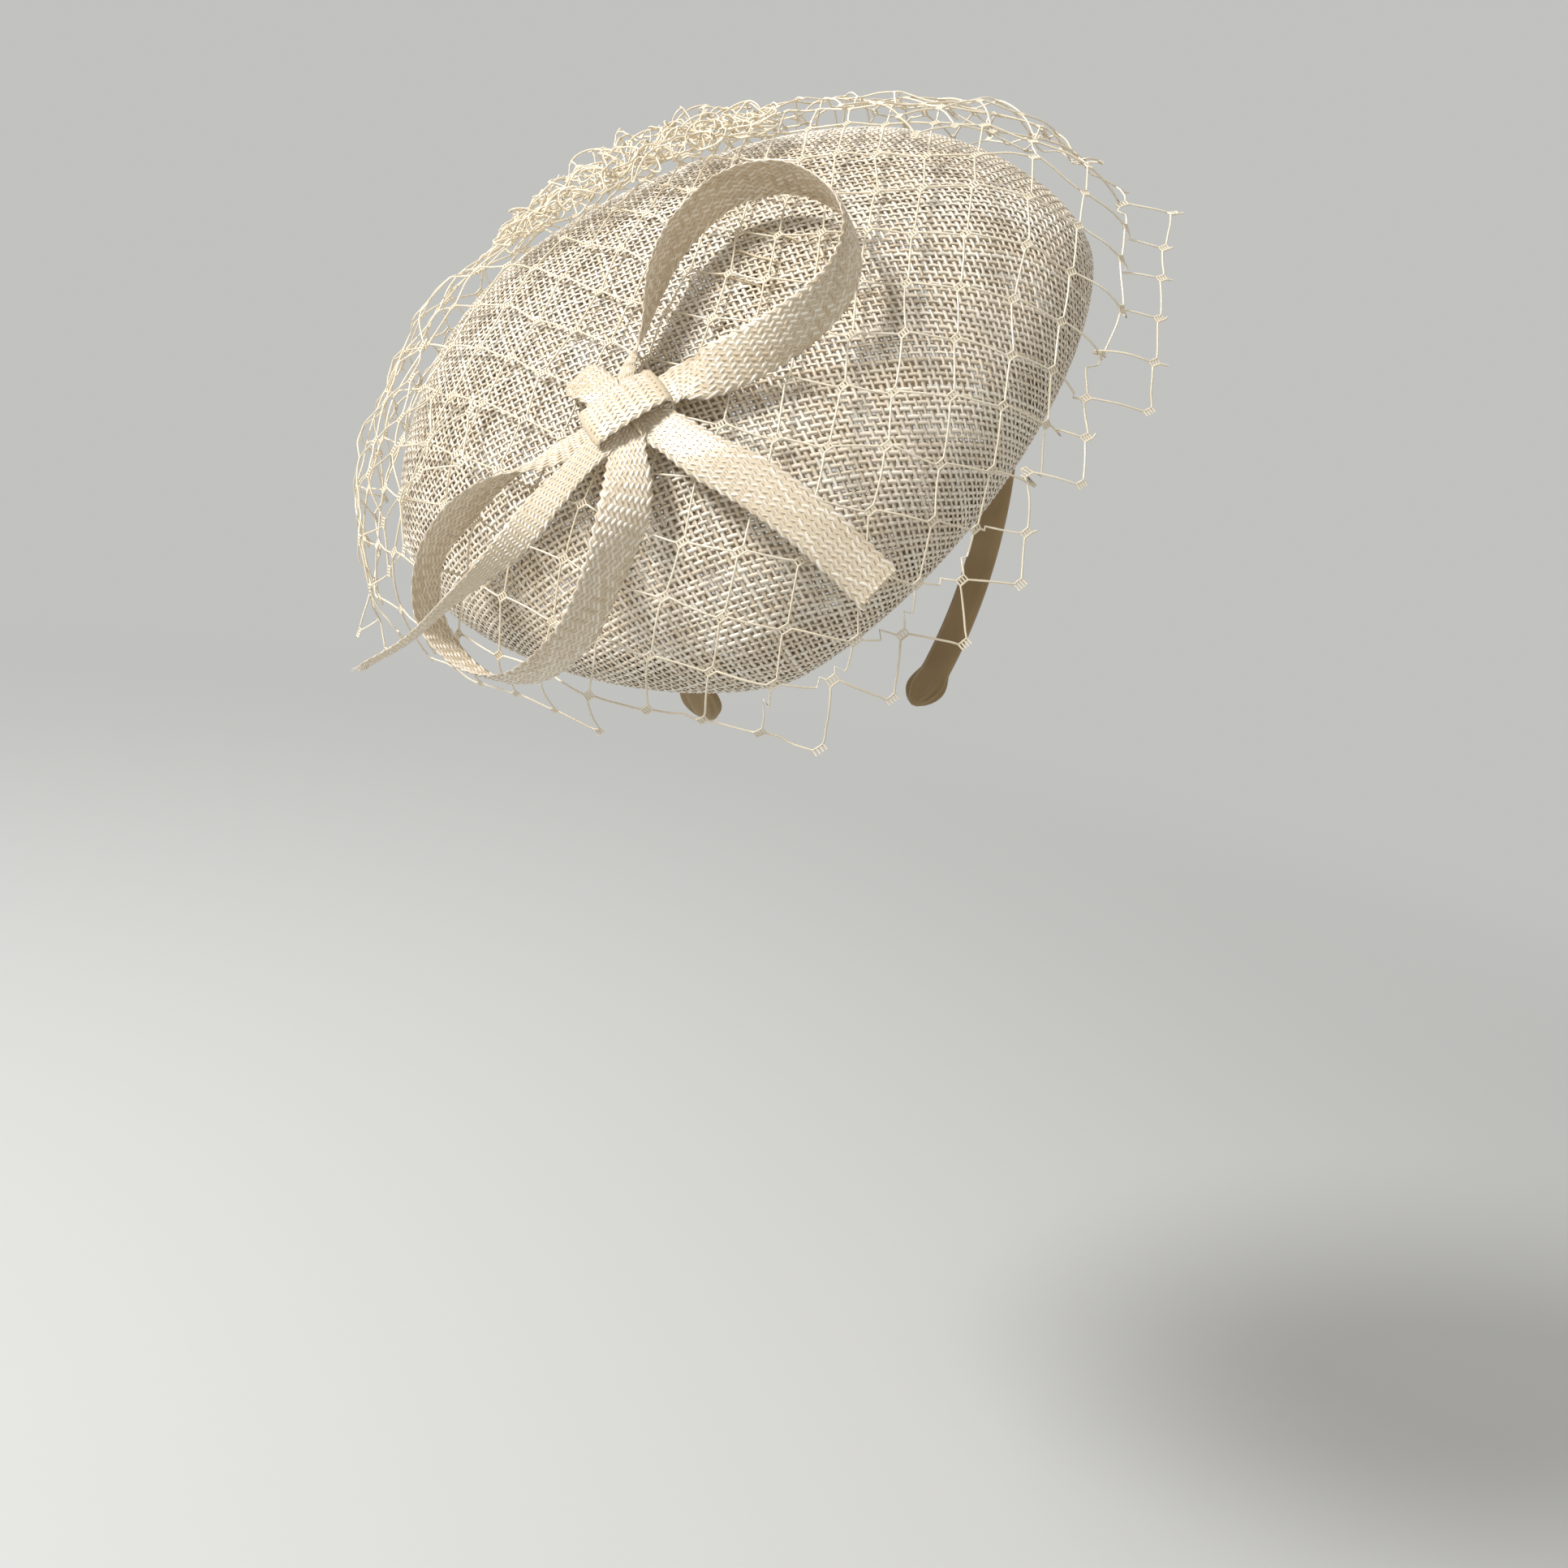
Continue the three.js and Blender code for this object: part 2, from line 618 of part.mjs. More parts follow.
const hatFromPart = hat.matrixWorld.clone().invert();
const bowStitch = bowStitchPoints();
const crownTacks = CROWN_TACKS.map((tack) => crownTackPoints(hatFromPart, tack));
const needleLoops = [bowStitch, ...crownTacks];

hat.add(node("crown_shell", pierced(shellBetween(0, SHELL_THICKNESS), needleLoops), straw));
hat.add(node("crown_lining", pierced(shellBetween(LINING_OFFSET, LAYERS), needleLoops), strawLining));
hat.add(rimWire(), rimWireJoiner(), rimBinding(), sweatband());
hat.add(node("veil_net", pierced(veilShell(), [bowStitch]), netThread));
hat.add(veilGather());
hat.add(upperLoop(), lowerLoop(), rightTail(), leftTail(), knotTuck(), knotWrap());
hat.add(node("bow_stitch", threadLoop(bowStitch, THREAD_RADIUS), sewingThread));
crownTacks.forEach((points, i) => {
  hat.add(node(`crown_tack_stitch_${i + 1}`, threadLoop(points, THREAD_RADIUS), sewingThread));
});

export default part;
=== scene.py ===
# %% [markdown]
# # A straw fascinator with a net veil and a ribbon bow
# The crown is an egg-shaped cap of open straw cloth, stiffened over a block. It is sewn at a slant to a
# cloth-covered headband, with a net veil over it and a braided ribbon bow on top. Almost everything on it is
# thread, so the lesson is about one idea: work out where each thread runs with a little arithmetic, then let
# one Geometry Nodes tree give every thread its body.

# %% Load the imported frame
import math

import bmesh
import bpy
import numpy as np
from mathutils import Matrix, Quaternion, Vector


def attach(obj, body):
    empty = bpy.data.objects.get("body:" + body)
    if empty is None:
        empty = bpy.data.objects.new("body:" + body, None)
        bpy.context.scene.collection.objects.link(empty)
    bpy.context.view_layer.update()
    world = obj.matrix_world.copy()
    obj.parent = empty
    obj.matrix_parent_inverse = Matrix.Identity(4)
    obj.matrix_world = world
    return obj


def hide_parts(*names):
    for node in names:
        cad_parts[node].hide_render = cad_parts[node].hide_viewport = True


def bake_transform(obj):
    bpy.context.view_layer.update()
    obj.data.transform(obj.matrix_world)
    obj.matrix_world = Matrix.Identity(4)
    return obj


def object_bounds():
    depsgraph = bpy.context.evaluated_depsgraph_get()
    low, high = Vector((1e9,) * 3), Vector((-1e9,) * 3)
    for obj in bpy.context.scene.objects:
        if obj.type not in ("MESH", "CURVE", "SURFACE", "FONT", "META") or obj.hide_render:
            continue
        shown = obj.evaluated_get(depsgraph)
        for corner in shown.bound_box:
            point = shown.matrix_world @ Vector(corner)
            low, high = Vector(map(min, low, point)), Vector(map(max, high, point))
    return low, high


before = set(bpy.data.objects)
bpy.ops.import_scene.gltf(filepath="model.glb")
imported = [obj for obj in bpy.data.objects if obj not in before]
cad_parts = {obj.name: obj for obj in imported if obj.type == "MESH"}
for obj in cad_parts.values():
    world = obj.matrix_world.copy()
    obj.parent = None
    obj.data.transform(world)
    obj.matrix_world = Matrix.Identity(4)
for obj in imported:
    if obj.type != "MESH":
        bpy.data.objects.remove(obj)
cad_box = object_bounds()
MM = 0.001
print("CAD box, mm:", [tuple(round(v / MM, 1) for v in corner) for corner in cad_box])

# %% [markdown]
# ## Camera, floor and light
# The piece is looked at from a little in front of the wearer's right side and slightly from above, with the
# camera rolled about ten degrees. The floor fades into the backdrop's tone, so that no horizon crosses the
# picture.
# The main lamp is fairly small, so that threads cast shadows, and the other two are broad and weak.

# %% Camera
HEADING = math.radians(52.85)
DIP = math.radians(13.63)
ROLL = math.radians(10.4)
EYE = Vector((-350.4, -257.8, -51.2)) * MM
LENS = 36.06
SENSOR = 36.0

look = Vector((math.sin(HEADING) * math.cos(DIP), math.cos(HEADING) * math.cos(DIP), -math.sin(DIP)))
camera_data = bpy.data.cameras.new("camera")
camera_data.lens = LENS
camera_data.sensor_width = SENSOR
camera_data.clip_start = 0.01
camera_data.clip_end = 30
camera = bpy.data.objects.new("camera", camera_data)
camera.rotation_mode = "QUATERNION"
camera.location = EYE
camera.rotation_quaternion = look.to_track_quat("-Z", "Y") @ Quaternion((0, 0, 1), ROLL)
bpy.context.scene.collection.objects.link(camera)
bpy.context.scene.camera = camera
bpy.context.scene.view_settings.view_transform = "Standard"
print("camera right axis:", [round(v, 4) for v in camera.rotation_quaternion @ Vector((1, 0, 0))])


# %% Floor, sky and lamps
def tone(red, green, blue):
    """A colour as the eye reads it, turned into the linear light that shaders use."""
    linear = [c / 12.92 if c <= 0.04045 else ((c + 0.055) / 1.055) ** 2.4 for c in (red, green, blue)]
    return (*linear, 1.0)


BACKDROP = tone(0.76, 0.76, 0.75)
FLOOR_DROP = 0.27
FLOOR_SIZE = 6.0
FLOOR_FADE = (0.35, 1.5)
SKY_LIGHT = 0.42

floor_mesh = bpy.data.meshes.new("floor")
floor_z = cad_box[0].z - FLOOR_DROP
corners = [(x * FLOOR_SIZE / 2, y * FLOOR_SIZE / 2, floor_z) for x, y in ((-1, -1), (1, -1), (1, 1), (-1, 1))]
floor_mesh.from_pydata(corners, [], [(0, 1, 2, 3)])
floor = bpy.data.objects.new("floor", floor_mesh)
bpy.context.scene.collection.objects.link(floor)

floor_paint = bpy.data.materials.new("floor_paint")
floor_paint.use_nodes = True
floor_tree = floor_paint.node_tree
floor_shader = floor_tree.nodes["Principled BSDF"]
floor_shader.inputs["Base Color"].default_value = tone(0.80, 0.80, 0.79)
floor_shader.inputs["Roughness"].default_value = 0.95
floor_shader.inputs["Specular IOR Level"].default_value = 0.1
# Far from the middle the floor turns into the backdrop's own colour, so that no edge shows.
floor_far = floor_tree.nodes.new("ShaderNodeEmission")
floor_far.inputs["Color"].default_value = BACKDROP
floor_place = floor_tree.nodes.new("ShaderNodeTexCoord")
floor_reach = floor_tree.nodes.new("ShaderNodeVectorMath")
floor_reach.operation = "LENGTH"
floor_fade = floor_tree.nodes.new("ShaderNodeMapRange")
floor_fade.interpolation_type = "SMOOTHSTEP"
floor_fade.inputs["From Min"].default_value = FLOOR_FADE[0]
floor_fade.inputs["From Max"].default_value = FLOOR_FADE[1]
floor_mix = floor_tree.nodes.new("ShaderNodeMixShader")
floor_tree.links.new(floor_place.outputs["Object"], floor_reach.inputs[0])
floor_tree.links.new(floor_reach.outputs["Value"], floor_fade.inputs["Value"])
floor_tree.links.new(floor_fade.outputs["Result"], floor_mix.inputs["Fac"])
floor_tree.links.new(floor_shader.outputs["BSDF"], floor_mix.inputs[1])
floor_tree.links.new(floor_far.outputs["Emission"], floor_mix.inputs[2])
floor_tree.links.new(floor_mix.outputs["Shader"], floor_tree.nodes["Material Output"].inputs["Surface"])
floor_mesh.materials.append(floor_paint)

world = bpy.data.worlds.new("soft_sky")
world.use_nodes = True
bpy.context.scene.world = world
sky = world.node_tree
sky.nodes.clear()
sky_out = sky.nodes.new("ShaderNodeOutputWorld")
sky_mix = sky.nodes.new("ShaderNodeMixShader")
sky_light = sky.nodes.new("ShaderNodeBackground")
sky_seen = sky.nodes.new("ShaderNodeBackground")
sky_path = sky.nodes.new("ShaderNodeLightPath")
sky_light.inputs["Color"].default_value = (1.0, 0.985, 0.96, 1)
sky_light.inputs["Strength"].default_value = SKY_LIGHT
sky_seen.inputs["Color"].default_value = BACKDROP
sky.links.new(sky_path.outputs["Is Camera Ray"], sky_mix.inputs["Fac"])
sky.links.new(sky_light.outputs["Background"], sky_mix.inputs[1])
sky.links.new(sky_seen.outputs["Background"], sky_mix.inputs[2])
sky.links.new(sky_mix.outputs["Shader"], sky_out.inputs["Surface"])

AIM = Vector((-45, 15, -55)) * MM


def soft_lamp(name, place, size, power, colour):
    data = bpy.data.lights.new(name, "AREA")
    data.shape = "DISK"
    data.size = size
    data.energy = power
    data.color = colour
    lamp = bpy.data.objects.new(name, data)
    lamp.location = place
    lamp.rotation_mode = "QUATERNION"
    lamp.rotation_quaternion = (AIM - Vector(place)).to_track_quat("-Z", "Y")
    bpy.context.scene.collection.objects.link(lamp)


soft_lamp("window_light", (-0.95, 0.45, 0.75), 0.34, 21.0, (0.985, 0.99, 1.0))
soft_lamp("room_light", (-0.35, -1.2, 0.45), 0.9, 2.2, (1.0, 0.98, 0.95))
soft_lamp("back_light", (0.7, 0.9, 0.6), 0.8, 4.0, (0.97, 0.98, 1.0))

# %% [markdown]
# ## The hat's own frame
# The crown was shaped upright on its block and then sewn on at a slant. It is easier to lay threads on it
# upright too, in millimetres, and to turn the finished points into place with one matrix.

# %% From the upright hat to its place beside the head
ARCH_RADIUS = 67.5
BAND_THICKNESS = 3.2
BAND_TOP = BAND_THICKNESS / 2 - ARCH_RADIUS
HAT_PLACE = Vector((-33.9, 20.1, 10.3 + BAND_TOP))
HAT_TURNS = ((189, "Z"), (55, "Y"), (133, "Z"))

hat_matrix = Matrix.Translation(HAT_PLACE)
for degrees, axis in HAT_TURNS:
    hat_matrix = hat_matrix @ Matrix.Rotation(math.radians(degrees), 4, axis)
HAT = np.array(hat_matrix)


def hat_to_part(points):
    return (points @ HAT[:3, :3].T + HAT[:3, 3]) * MM


def part_to_hat(points):
    return (points - HAT[:3, 3]) @ HAT[:3, :3]


def unit(vectors):
    return vectors / np.maximum(np.linalg.norm(vectors, axis=-1, keepdims=True), 1e-9)


# %% [markdown]
# ## One tree that turns lines into threads
# A woven hat holds thousands of thread lengths, and each could be a bevelled curve or a swept mesh. Here a
# plain mesh of edges carries four numbers at each point: the way the thread faces, its half width, how far
# it passes over or under its neighbours, and a shade. The tree lifts the points, makes curves of the edges
# and sweeps a flattened ring along them. The same tree makes straw, net cord, ribbon braid and sewing thread.

# %% The thread tree
SIDES_OF_STRAW = 4
SIDES_OF_CORD = 5


def thread_tree():
    tree = bpy.data.node_groups.new("lay threads", "GeometryNodeTree")
    sockets = tree.interface
    sockets.new_socket("Geometry", in_out="INPUT", socket_type="NodeSocketGeometry")
    sockets.new_socket("Flatness", in_out="INPUT", socket_type="NodeSocketFloat")
    sockets.new_socket("Over and under", in_out="INPUT", socket_type="NodeSocketFloat")
    sockets.new_socket("Sides", in_out="INPUT", socket_type="NodeSocketInt")
    sockets.new_socket("Finish", in_out="INPUT", socket_type="NodeSocketMaterial")
    sockets.new_socket("Geometry", in_out="OUTPUT", socket_type="NodeSocketGeometry")
    made, link = tree.nodes.new, tree.links.new
    start, end = made("NodeGroupInput"), made("NodeGroupOutput")

    def number(name, kind="FLOAT"):
        read = made("GeometryNodeInputNamedAttribute")
        read.data_type = kind
        read.inputs["Name"].default_value = name
        return read.outputs["Attribute"]

    facing = number("facing", "FLOAT_VECTOR")
    rise = made("ShaderNodeMath")
    rise.operation = "MULTIPLY"
    link(number("lift"), rise.inputs[0])
    link(start.outputs["Over and under"], rise.inputs[1])
    offset = made("ShaderNodeVectorMath")
    offset.operation = "SCALE"
    link(facing, offset.inputs[0])
    link(rise.outputs[0], offset.inputs["Scale"])
    lifted = made("GeometryNodeSetPosition")
    link(start.outputs["Geometry"], lifted.inputs["Geometry"])
    link(offset.outputs[0], lifted.inputs["Offset"])
    curves = made("GeometryNodeMeshToCurve")
    link(lifted.outputs["Geometry"], curves.inputs["Mesh"])
    faced = made("GeometryNodeSetCurveNormal")
    if "Mode" in faced.inputs:
        faced.inputs["Mode"].default_value = "Free"
    else:
        faced.mode = "FREE"
    link(curves.outputs["Curve"], faced.inputs["Curve"])
    link(facing, faced.inputs["Normal"])
    sized = made("GeometryNodeSetCurveRadius")
    link(faced.outputs["Curve"], sized.inputs["Curve"])
    link(number("half"), sized.inputs["Radius"])

    ring = made("GeometryNodeCurvePrimitiveCircle")
    ring.inputs["Radius"].default_value = 1
    link(start.outputs["Sides"], ring.inputs["Resolution"])
    squeeze = made("ShaderNodeCombineXYZ")
    squeeze.inputs["Y"].default_value = 1
    squeeze.inputs["Z"].default_value = 1
    link(start.outputs["Flatness"], squeeze.inputs["X"])
    flat_ring = made("GeometryNodeTransform")
    link(ring.outputs["Curve"], flat_ring.inputs["Geometry"])
    link(squeeze.outputs["Vector"], flat_ring.inputs["Scale"])

    def note(curve, output):
        keep = made("GeometryNodeCaptureAttribute")
        keep.capture_items.new("FLOAT", "value")
        keep.domain = "POINT"
        link(curve, keep.inputs[0])
        link(made("GeometryNodeSplineParameter").outputs[output], keep.inputs[1])
        return keep.outputs

    along = note(sized.outputs["Curve"], "Length")
    across = note(flat_ring.outputs["Geometry"], "Factor")
    body = made("GeometryNodeCurveToMesh")
    link(along[0], body.inputs["Curve"])
    link(across[0], body.inputs["Profile Curve"])
    body.inputs["Fill Caps"].default_value = True
    if "Scale" in body.inputs:
        link(number("half"), body.inputs["Scale"])
    smooth = made("GeometryNodeSetShadeSmooth")
    link(body.outputs["Mesh"], smooth.inputs["Geometry"])
    place = made("ShaderNodeCombineXYZ")
    link(along[1], place.inputs["X"])
    link(across[1], place.inputs["Y"])
    mapped = made("GeometryNodeStoreNamedAttribute")
    mapped.data_type = "FLOAT2"
    mapped.domain = "CORNER"
    mapped.inputs["Name"].default_value = "thread"
    link(smooth.outputs["Geometry"], mapped.inputs["Geometry"])
    link(place.outputs["Vector"], mapped.inputs["Value"])
    real = made("GeometryNodeRealizeInstances")
    link(mapped.outputs["Geometry"], real.inputs["Geometry"])
    finish = made("GeometryNodeSetMaterial")
    link(real.outputs["Geometry"], finish.inputs["Geometry"])
    link(start.outputs["Finish"], finish.inputs["Material"])
    link(finish.outputs["Geometry"], end.inputs["Geometry"])
    return tree


THREAD_TREE = thread_tree()
print("thread tree:", len(THREAD_TREE.nodes), "nodes")


# %% [markdown]
# A line is a small dictionary of arrays. `spin_threads` packs all the lines of a piece into one edge mesh,
# runs the tree over it and keeps the result as a plain mesh, so that no modifier is left on the piece.

# %% Lines into a finished piece
def line(points, facing, half, lift=0.0, shade=0.5):
    """A thread's path in millimetres. half, lift and shade are one number, or one for each point."""
    count = len(points)
    return {
        "points": np.asarray(points, float),
        "facing": np.broadcast_to(np.asarray(facing, float), (count, 3)),
        "half": np.broadcast_to(np.asarray(half, float), count),
        "lift": np.broadcast_to(np.asarray(lift, float), count),
        "shade": np.broadcast_to(np.asarray(shade, float), count),
    }


def spin_threads(name, lines, finish, flatness=1.0, over=0.0, sides=SIDES_OF_CORD):
    lines = [one for one in lines if len(one["points"]) > 1]
    joined = {key: np.concatenate([one[key] for one in lines]) for key in lines[0]}
    points, facing = hat_to_part(joined["points"]), unit(joined["facing"]) @ HAT[:3, :3].T
    counts = np.array([len(one["points"]) for one in lines])
    starts = np.arange(len(points) - 1)
    edges = np.stack([starts, starts + 1], axis=1)
    edges = np.delete(edges, np.cumsum(counts)[:-1] - 1, axis=0)
    mesh = bpy.data.meshes.new(name)
    mesh.vertices.add(len(points))
    mesh.vertices.foreach_set("co", points.astype(np.float32).ravel())
    mesh.edges.add(len(edges))
    mesh.edges.foreach_set("vertices", edges.astype(np.int32).ravel())
    mesh.attributes.new("facing", "FLOAT_VECTOR", "POINT").data.foreach_set(
        "vector", facing.astype(np.float32).ravel())
    for key, size in (("half", MM), ("lift", MM), ("shade", 1.0)):
        mesh.attributes.new(key, "FLOAT", "POINT").data.foreach_set(
            "value", (joined[key] * size).astype(np.float32))
    mesh.update()
    piece = bpy.data.objects.new(name, mesh)
    bpy.context.scene.collection.objects.link(piece)
    modifier = piece.modifiers.new("threads", "NODES")
    modifier.node_group = THREAD_TREE
    values = {"Flatness": flatness, "Over and under": over, "Sides": sides, "Finish": finish}
    for socket in THREAD_TREE.interface.items_tree:
        if socket.in_out == "INPUT" and socket.name in values:
            modifier[socket.identifier] = values[socket.name]
    graph = bpy.context.evaluated_depsgraph_get()
    plain = bpy.data.meshes.new_from_object(piece.evaluated_get(graph), depsgraph=graph,
                                            preserve_all_data_layers=True)
    piece.modifiers.clear()
    piece.data = plain
    plain.name = name
    for spent in ("facing", "half", "lift", "radius", "tilt"):
        if spent in plain.attributes:
            plain.attributes.remove(plain.attributes[spent])
    print(f"{name}: {len(lines)} threads, {sum(len(p.vertices) - 2 for p in plain.polygons)} triangles")
    return piece


def solid_piece(name, rings, finish, flat_map, closed_row=False):
    """A closed mesh from rings of points in metres; an open row of rings gets a cap at each end.

    flat_map is where each point lies on the flat cloth, also in metres."""
    rings = np.asarray(rings, float)
    rows, count = rings.shape[:2]
    i, j = np.meshgrid(np.arange(rows if closed_row else rows - 1), np.arange(count), indexing="ij")
    nexti, nextj = (i + 1) % rows, (j + 1) % count
    quads = np.stack([i * count + j, i * count + nextj, nexti * count + nextj, nexti * count + j], -1)
    faces = [tuple(quad) for quad in quads.reshape(-1, 4).tolist()]
    if not closed_row:
        faces += [tuple(range(count))[::-1], tuple(range((rows - 1) * count, rows * count))]
    mesh = bpy.data.meshes.new(name)
    mesh.from_pydata(rings.reshape(-1, 3).tolist(), [], faces)
    layer = mesh.uv_layers.new(name="cloth")
    flat = np.asarray(flat_map, float).reshape(-1, 2)
    corners = np.zeros(len(mesh.loops), np.int32)
    mesh.loops.foreach_get("vertex_index", corners)
    layer.data.foreach_set("uv", flat[corners].astype(np.float32).ravel())
    work = bmesh.new()
    work.from_mesh(mesh)
    bmesh.ops.recalc_face_normals(work, faces=work.faces)
    work.to_mesh(mesh)
    work.free()
    mesh.shade_smooth()
    mesh.materials.append(finish)
    piece = bpy.data.objects.new(name, mesh)
    bpy.context.scene.collection.objects.link(piece)
    print(f"{name}: {len(mesh.vertices)} points, {len(mesh.polygons)} faces")
    return piece


# %% [markdown]
# ## Finishes
# Straw, net cord and ribbon are all plant or nylon fibre: they differ in colour and gloss, but each shows
# fine streaks along its length and a shade of its own per thread. One shader group makes that effect from
# the thread's own map and shade, and every thread finish uses it. Cloth and ribbed ribbon share a second
# group, which draws a fine weave from the piece's flat map.

# %% The fibre group
def shader_group(name, inputs, outputs):
    group = bpy.data.node_groups.new(name, "ShaderNodeTree")
    for label, kind in inputs:
        group.interface.new_socket(label, in_out="INPUT", socket_type=kind)
    for label, kind in outputs:
        group.interface.new_socket(label, in_out="OUTPUT", socket_type=kind)
    return group, group.nodes.new("NodeGroupInput"), group.nodes.new("NodeGroupOutput")


def feed(tree, socket, value):
    """Give a socket a plain value, or the output of another node."""
    if isinstance(value, bpy.types.NodeSocket):
        tree.links.new(value, socket)
    else:
        socket.default_value = value


def math_node(tree, operation, first, second):
    node = tree.nodes.new("ShaderNodeMath")
    node.operation = operation
    feed(tree, node.inputs[0], first)
    feed(tree, node.inputs[1], second)
    return node.outputs[0]


def blend_node(tree, factor, first, second):
    node = tree.nodes.new("ShaderNodeMix")
    node.data_type = "RGBA"
    for socket, value in ((node.inputs[0], factor), (node.inputs[6], first), (node.inputs[7], second)):
        feed(tree, socket, value)
    return node.outputs[2]


def noise_node(tree, vector, scale, detail):
    node = tree.nodes.new("ShaderNodeTexNoise")
    node.inputs["Scale"].default_value = scale
    node.inputs["Detail"].default_value = detail
    tree.links.new(vector, node.inputs["Vector"])
    return node.outputs["Fac"]


def stretch_node(tree, vector, scale):
    node = tree.nodes.new("ShaderNodeMapping")
    node.inputs["Scale"].default_value = scale
    tree.links.new(vector, node.inputs["Vector"])
    return node.outputs["Vector"]


def fibre_group():
    colour, number, vector = "NodeSocketColor", "NodeSocketFloat", "NodeSocketVector"
    group, start, end = shader_group(
        "fibre",
        [("Map", vector), ("Place", vector), ("Shade", number), ("Pale", colour), ("Deep", colour)],
        [("Colour", colour), ("Roughness", number), ("Height", number)])
    streak = noise_node(group, stretch_node(group, start.outputs["Map"], (260, 7, 1)), 1.0, 3.0)
    patch = noise_node(group, start.outputs["Place"], 55.0, 2.0)
    mixed = math_node(group, "ADD", math_node(group, "MULTIPLY", start.outputs["Shade"], 0.7),
                      math_node(group, "MULTIPLY", streak, 0.35))
    mixed = math_node(group, "ADD", mixed, math_node(group, "MULTIPLY", patch, 0.35))
    level = math_node(group, "SUBTRACT", mixed, 0.2)
    group.links.new(blend_node(group, level, start.outputs["Pale"], start.outputs["Deep"]),
                    end.inputs["Colour"])
    rough = math_node(group, "ADD", math_node(group, "MULTIPLY", streak, 0.35), 0.14)
    group.links.new(rough, end.inputs["Roughness"])
    group.links.new(streak, end.inputs["Height"])
    return group


FIBRE = fibre_group()


def grouped_finish(name, group, map_name, pale, deep, gloss, sheen, bump):
    """A material whose colour, roughness and relief come from a group."""
    material = bpy.data.materials.new(name)
    material.use_nodes = True
    tree = material.node_tree
    shader = tree.nodes["Principled BSDF"]
    effect = tree.nodes.new("ShaderNodeGroup")
    effect.node_tree = group
    piece_map = tree.nodes.new("ShaderNodeUVMap")
    piece_map.uv_map = map_name
    place = tree.nodes.new("ShaderNodeTexCoord")
    tree.links.new(piece_map.outputs["UV"], effect.inputs["Map"])
    tree.links.new(place.outputs["Object"], effect.inputs["Place"])
    if "Shade" in effect.inputs:
        shade = tree.nodes.new("ShaderNodeAttribute")
        shade.attribute_name = "shade"
        tree.links.new(shade.outputs["Fac"], effect.inputs["Shade"])
    effect.inputs["Pale"].default_value = pale
    effect.inputs["Deep"].default_value = deep
    tree.links.new(effect.outputs["Colour"], shader.inputs["Base Color"])
    tree.links.new(effect.outputs["Roughness"], shader.inputs["Roughness"])
    relief = tree.nodes.new("ShaderNodeBump")
    relief.inputs["Strength"].default_value = bump
    relief.inputs["Distance"].default_value = 0.0002
    tree.links.new(effect.outputs["Height"], relief.inputs["Height"])
    tree.links.new(relief.outputs["Normal"], shader.inputs["Normal"])
    shader.inputs["Specular IOR Level"].default_value = gloss
    shader.inputs["Sheen Weight"].default_value = sheen
    return material


def fibre_finish(name, pale, deep, gloss, sheen=0.0):
    return grouped_finish(name, FIBRE, "thread", pale, deep, gloss, sheen, 0.25)


STRAW = fibre_finish("straw", tone(0.985, 0.955, 0.895), tone(0.86, 0.79, 0.68), 1.0)
# The lower layer is the same straw in darker tones: painted shade for the layer that lies in the top layer's
# shadow.
STRAW_UNDER_PAINTED_SHADE = fibre_finish("straw_under_painted_shade", tone(0.96, 0.92, 0.85), tone(0.80, 0.72, 0.60), 0.8)
RIBBON = fibre_finish("ribbon_straw", tone(0.98, 0.95, 0.89), tone(0.78, 0.69, 0.56), 1.0, 0.05)
# The ribbon core is the ribbon's straw in darker tones: painted shade where it shows between the braid's
# strands.
RIBBON_CORE_PAINTED_SHADE = fibre_finish("ribbon_inside_painted_shade", tone(0.85, 0.79, 0.68), tone(0.74, 0.66, 0.53), 0.4)
NET = fibre_finish("net_cord", tone(0.95, 0.915, 0.83), tone(0.87, 0.81, 0.70), 0.6)
SEWING = fibre_finish("sewing_thread", tone(0.93, 0.88, 0.78), tone(0.86, 0.79, 0.66), 0.5)


# %% The cloth group
def cloth_group():
    colour, number, vector = "NodeSocketColor", "NodeSocketFloat", "NodeSocketVector"
    group, start, end = shader_group(
        "fine cloth",
        [("Map", vector), ("Place", vector), ("Pale", colour), ("Deep", colour)],
        [("Colour", colour), ("Roughness", number), ("Height", number)])

    def ribs(scale):
        wave = group.nodes.new("ShaderNodeTexWave")
        wave.inputs["Scale"].default_value = 1.0
        wave.inputs["Distortion"].default_value = 0.6
        group.links.new(stretch_node(group, start.outputs["Map"], scale), wave.inputs["Vector"])
        return wave.outputs["Fac"]

    weave = math_node(group, "MULTIPLY", ribs((560, 0, 0)), ribs((0, 560, 0)))
    patch = noise_node(group, start.outputs["Place"], 90.0, 4.0)
    level = math_node(group, "ADD", math_node(group, "MULTIPLY", weave, 0.5),
                      math_node(group, "MULTIPLY", patch, 0.7))
    level = math_node(group, "SUBTRACT", level, 0.1)
    group.links.new(blend_node(group, level, start.outputs["Deep"], start.outputs["Pale"]),
                    end.inputs["Colour"])
    group.links.new(math_node(group, "ADD", math_node(group, "MULTIPLY", patch, 0.3), 0.6),
                    end.inputs["Roughness"])
    group.links.new(weave, end.inputs["Height"])
    return group


CLOTH = cloth_group()


def cloth_finish(name, pale, deep, sheen):
    return grouped_finish(name, CLOTH, "cloth", pale, deep, 0.3, sheen, 0.35)


BAND_CLOTH = cloth_finish("band_cloth", tone(0.70, 0.61, 0.46), tone(0.54, 0.45, 0.31), 0.25)
PETERSHAM = cloth_finish("petersham", tone(0.88, 0.82, 0.72), tone(0.76, 0.69, 0.57), 0.2)


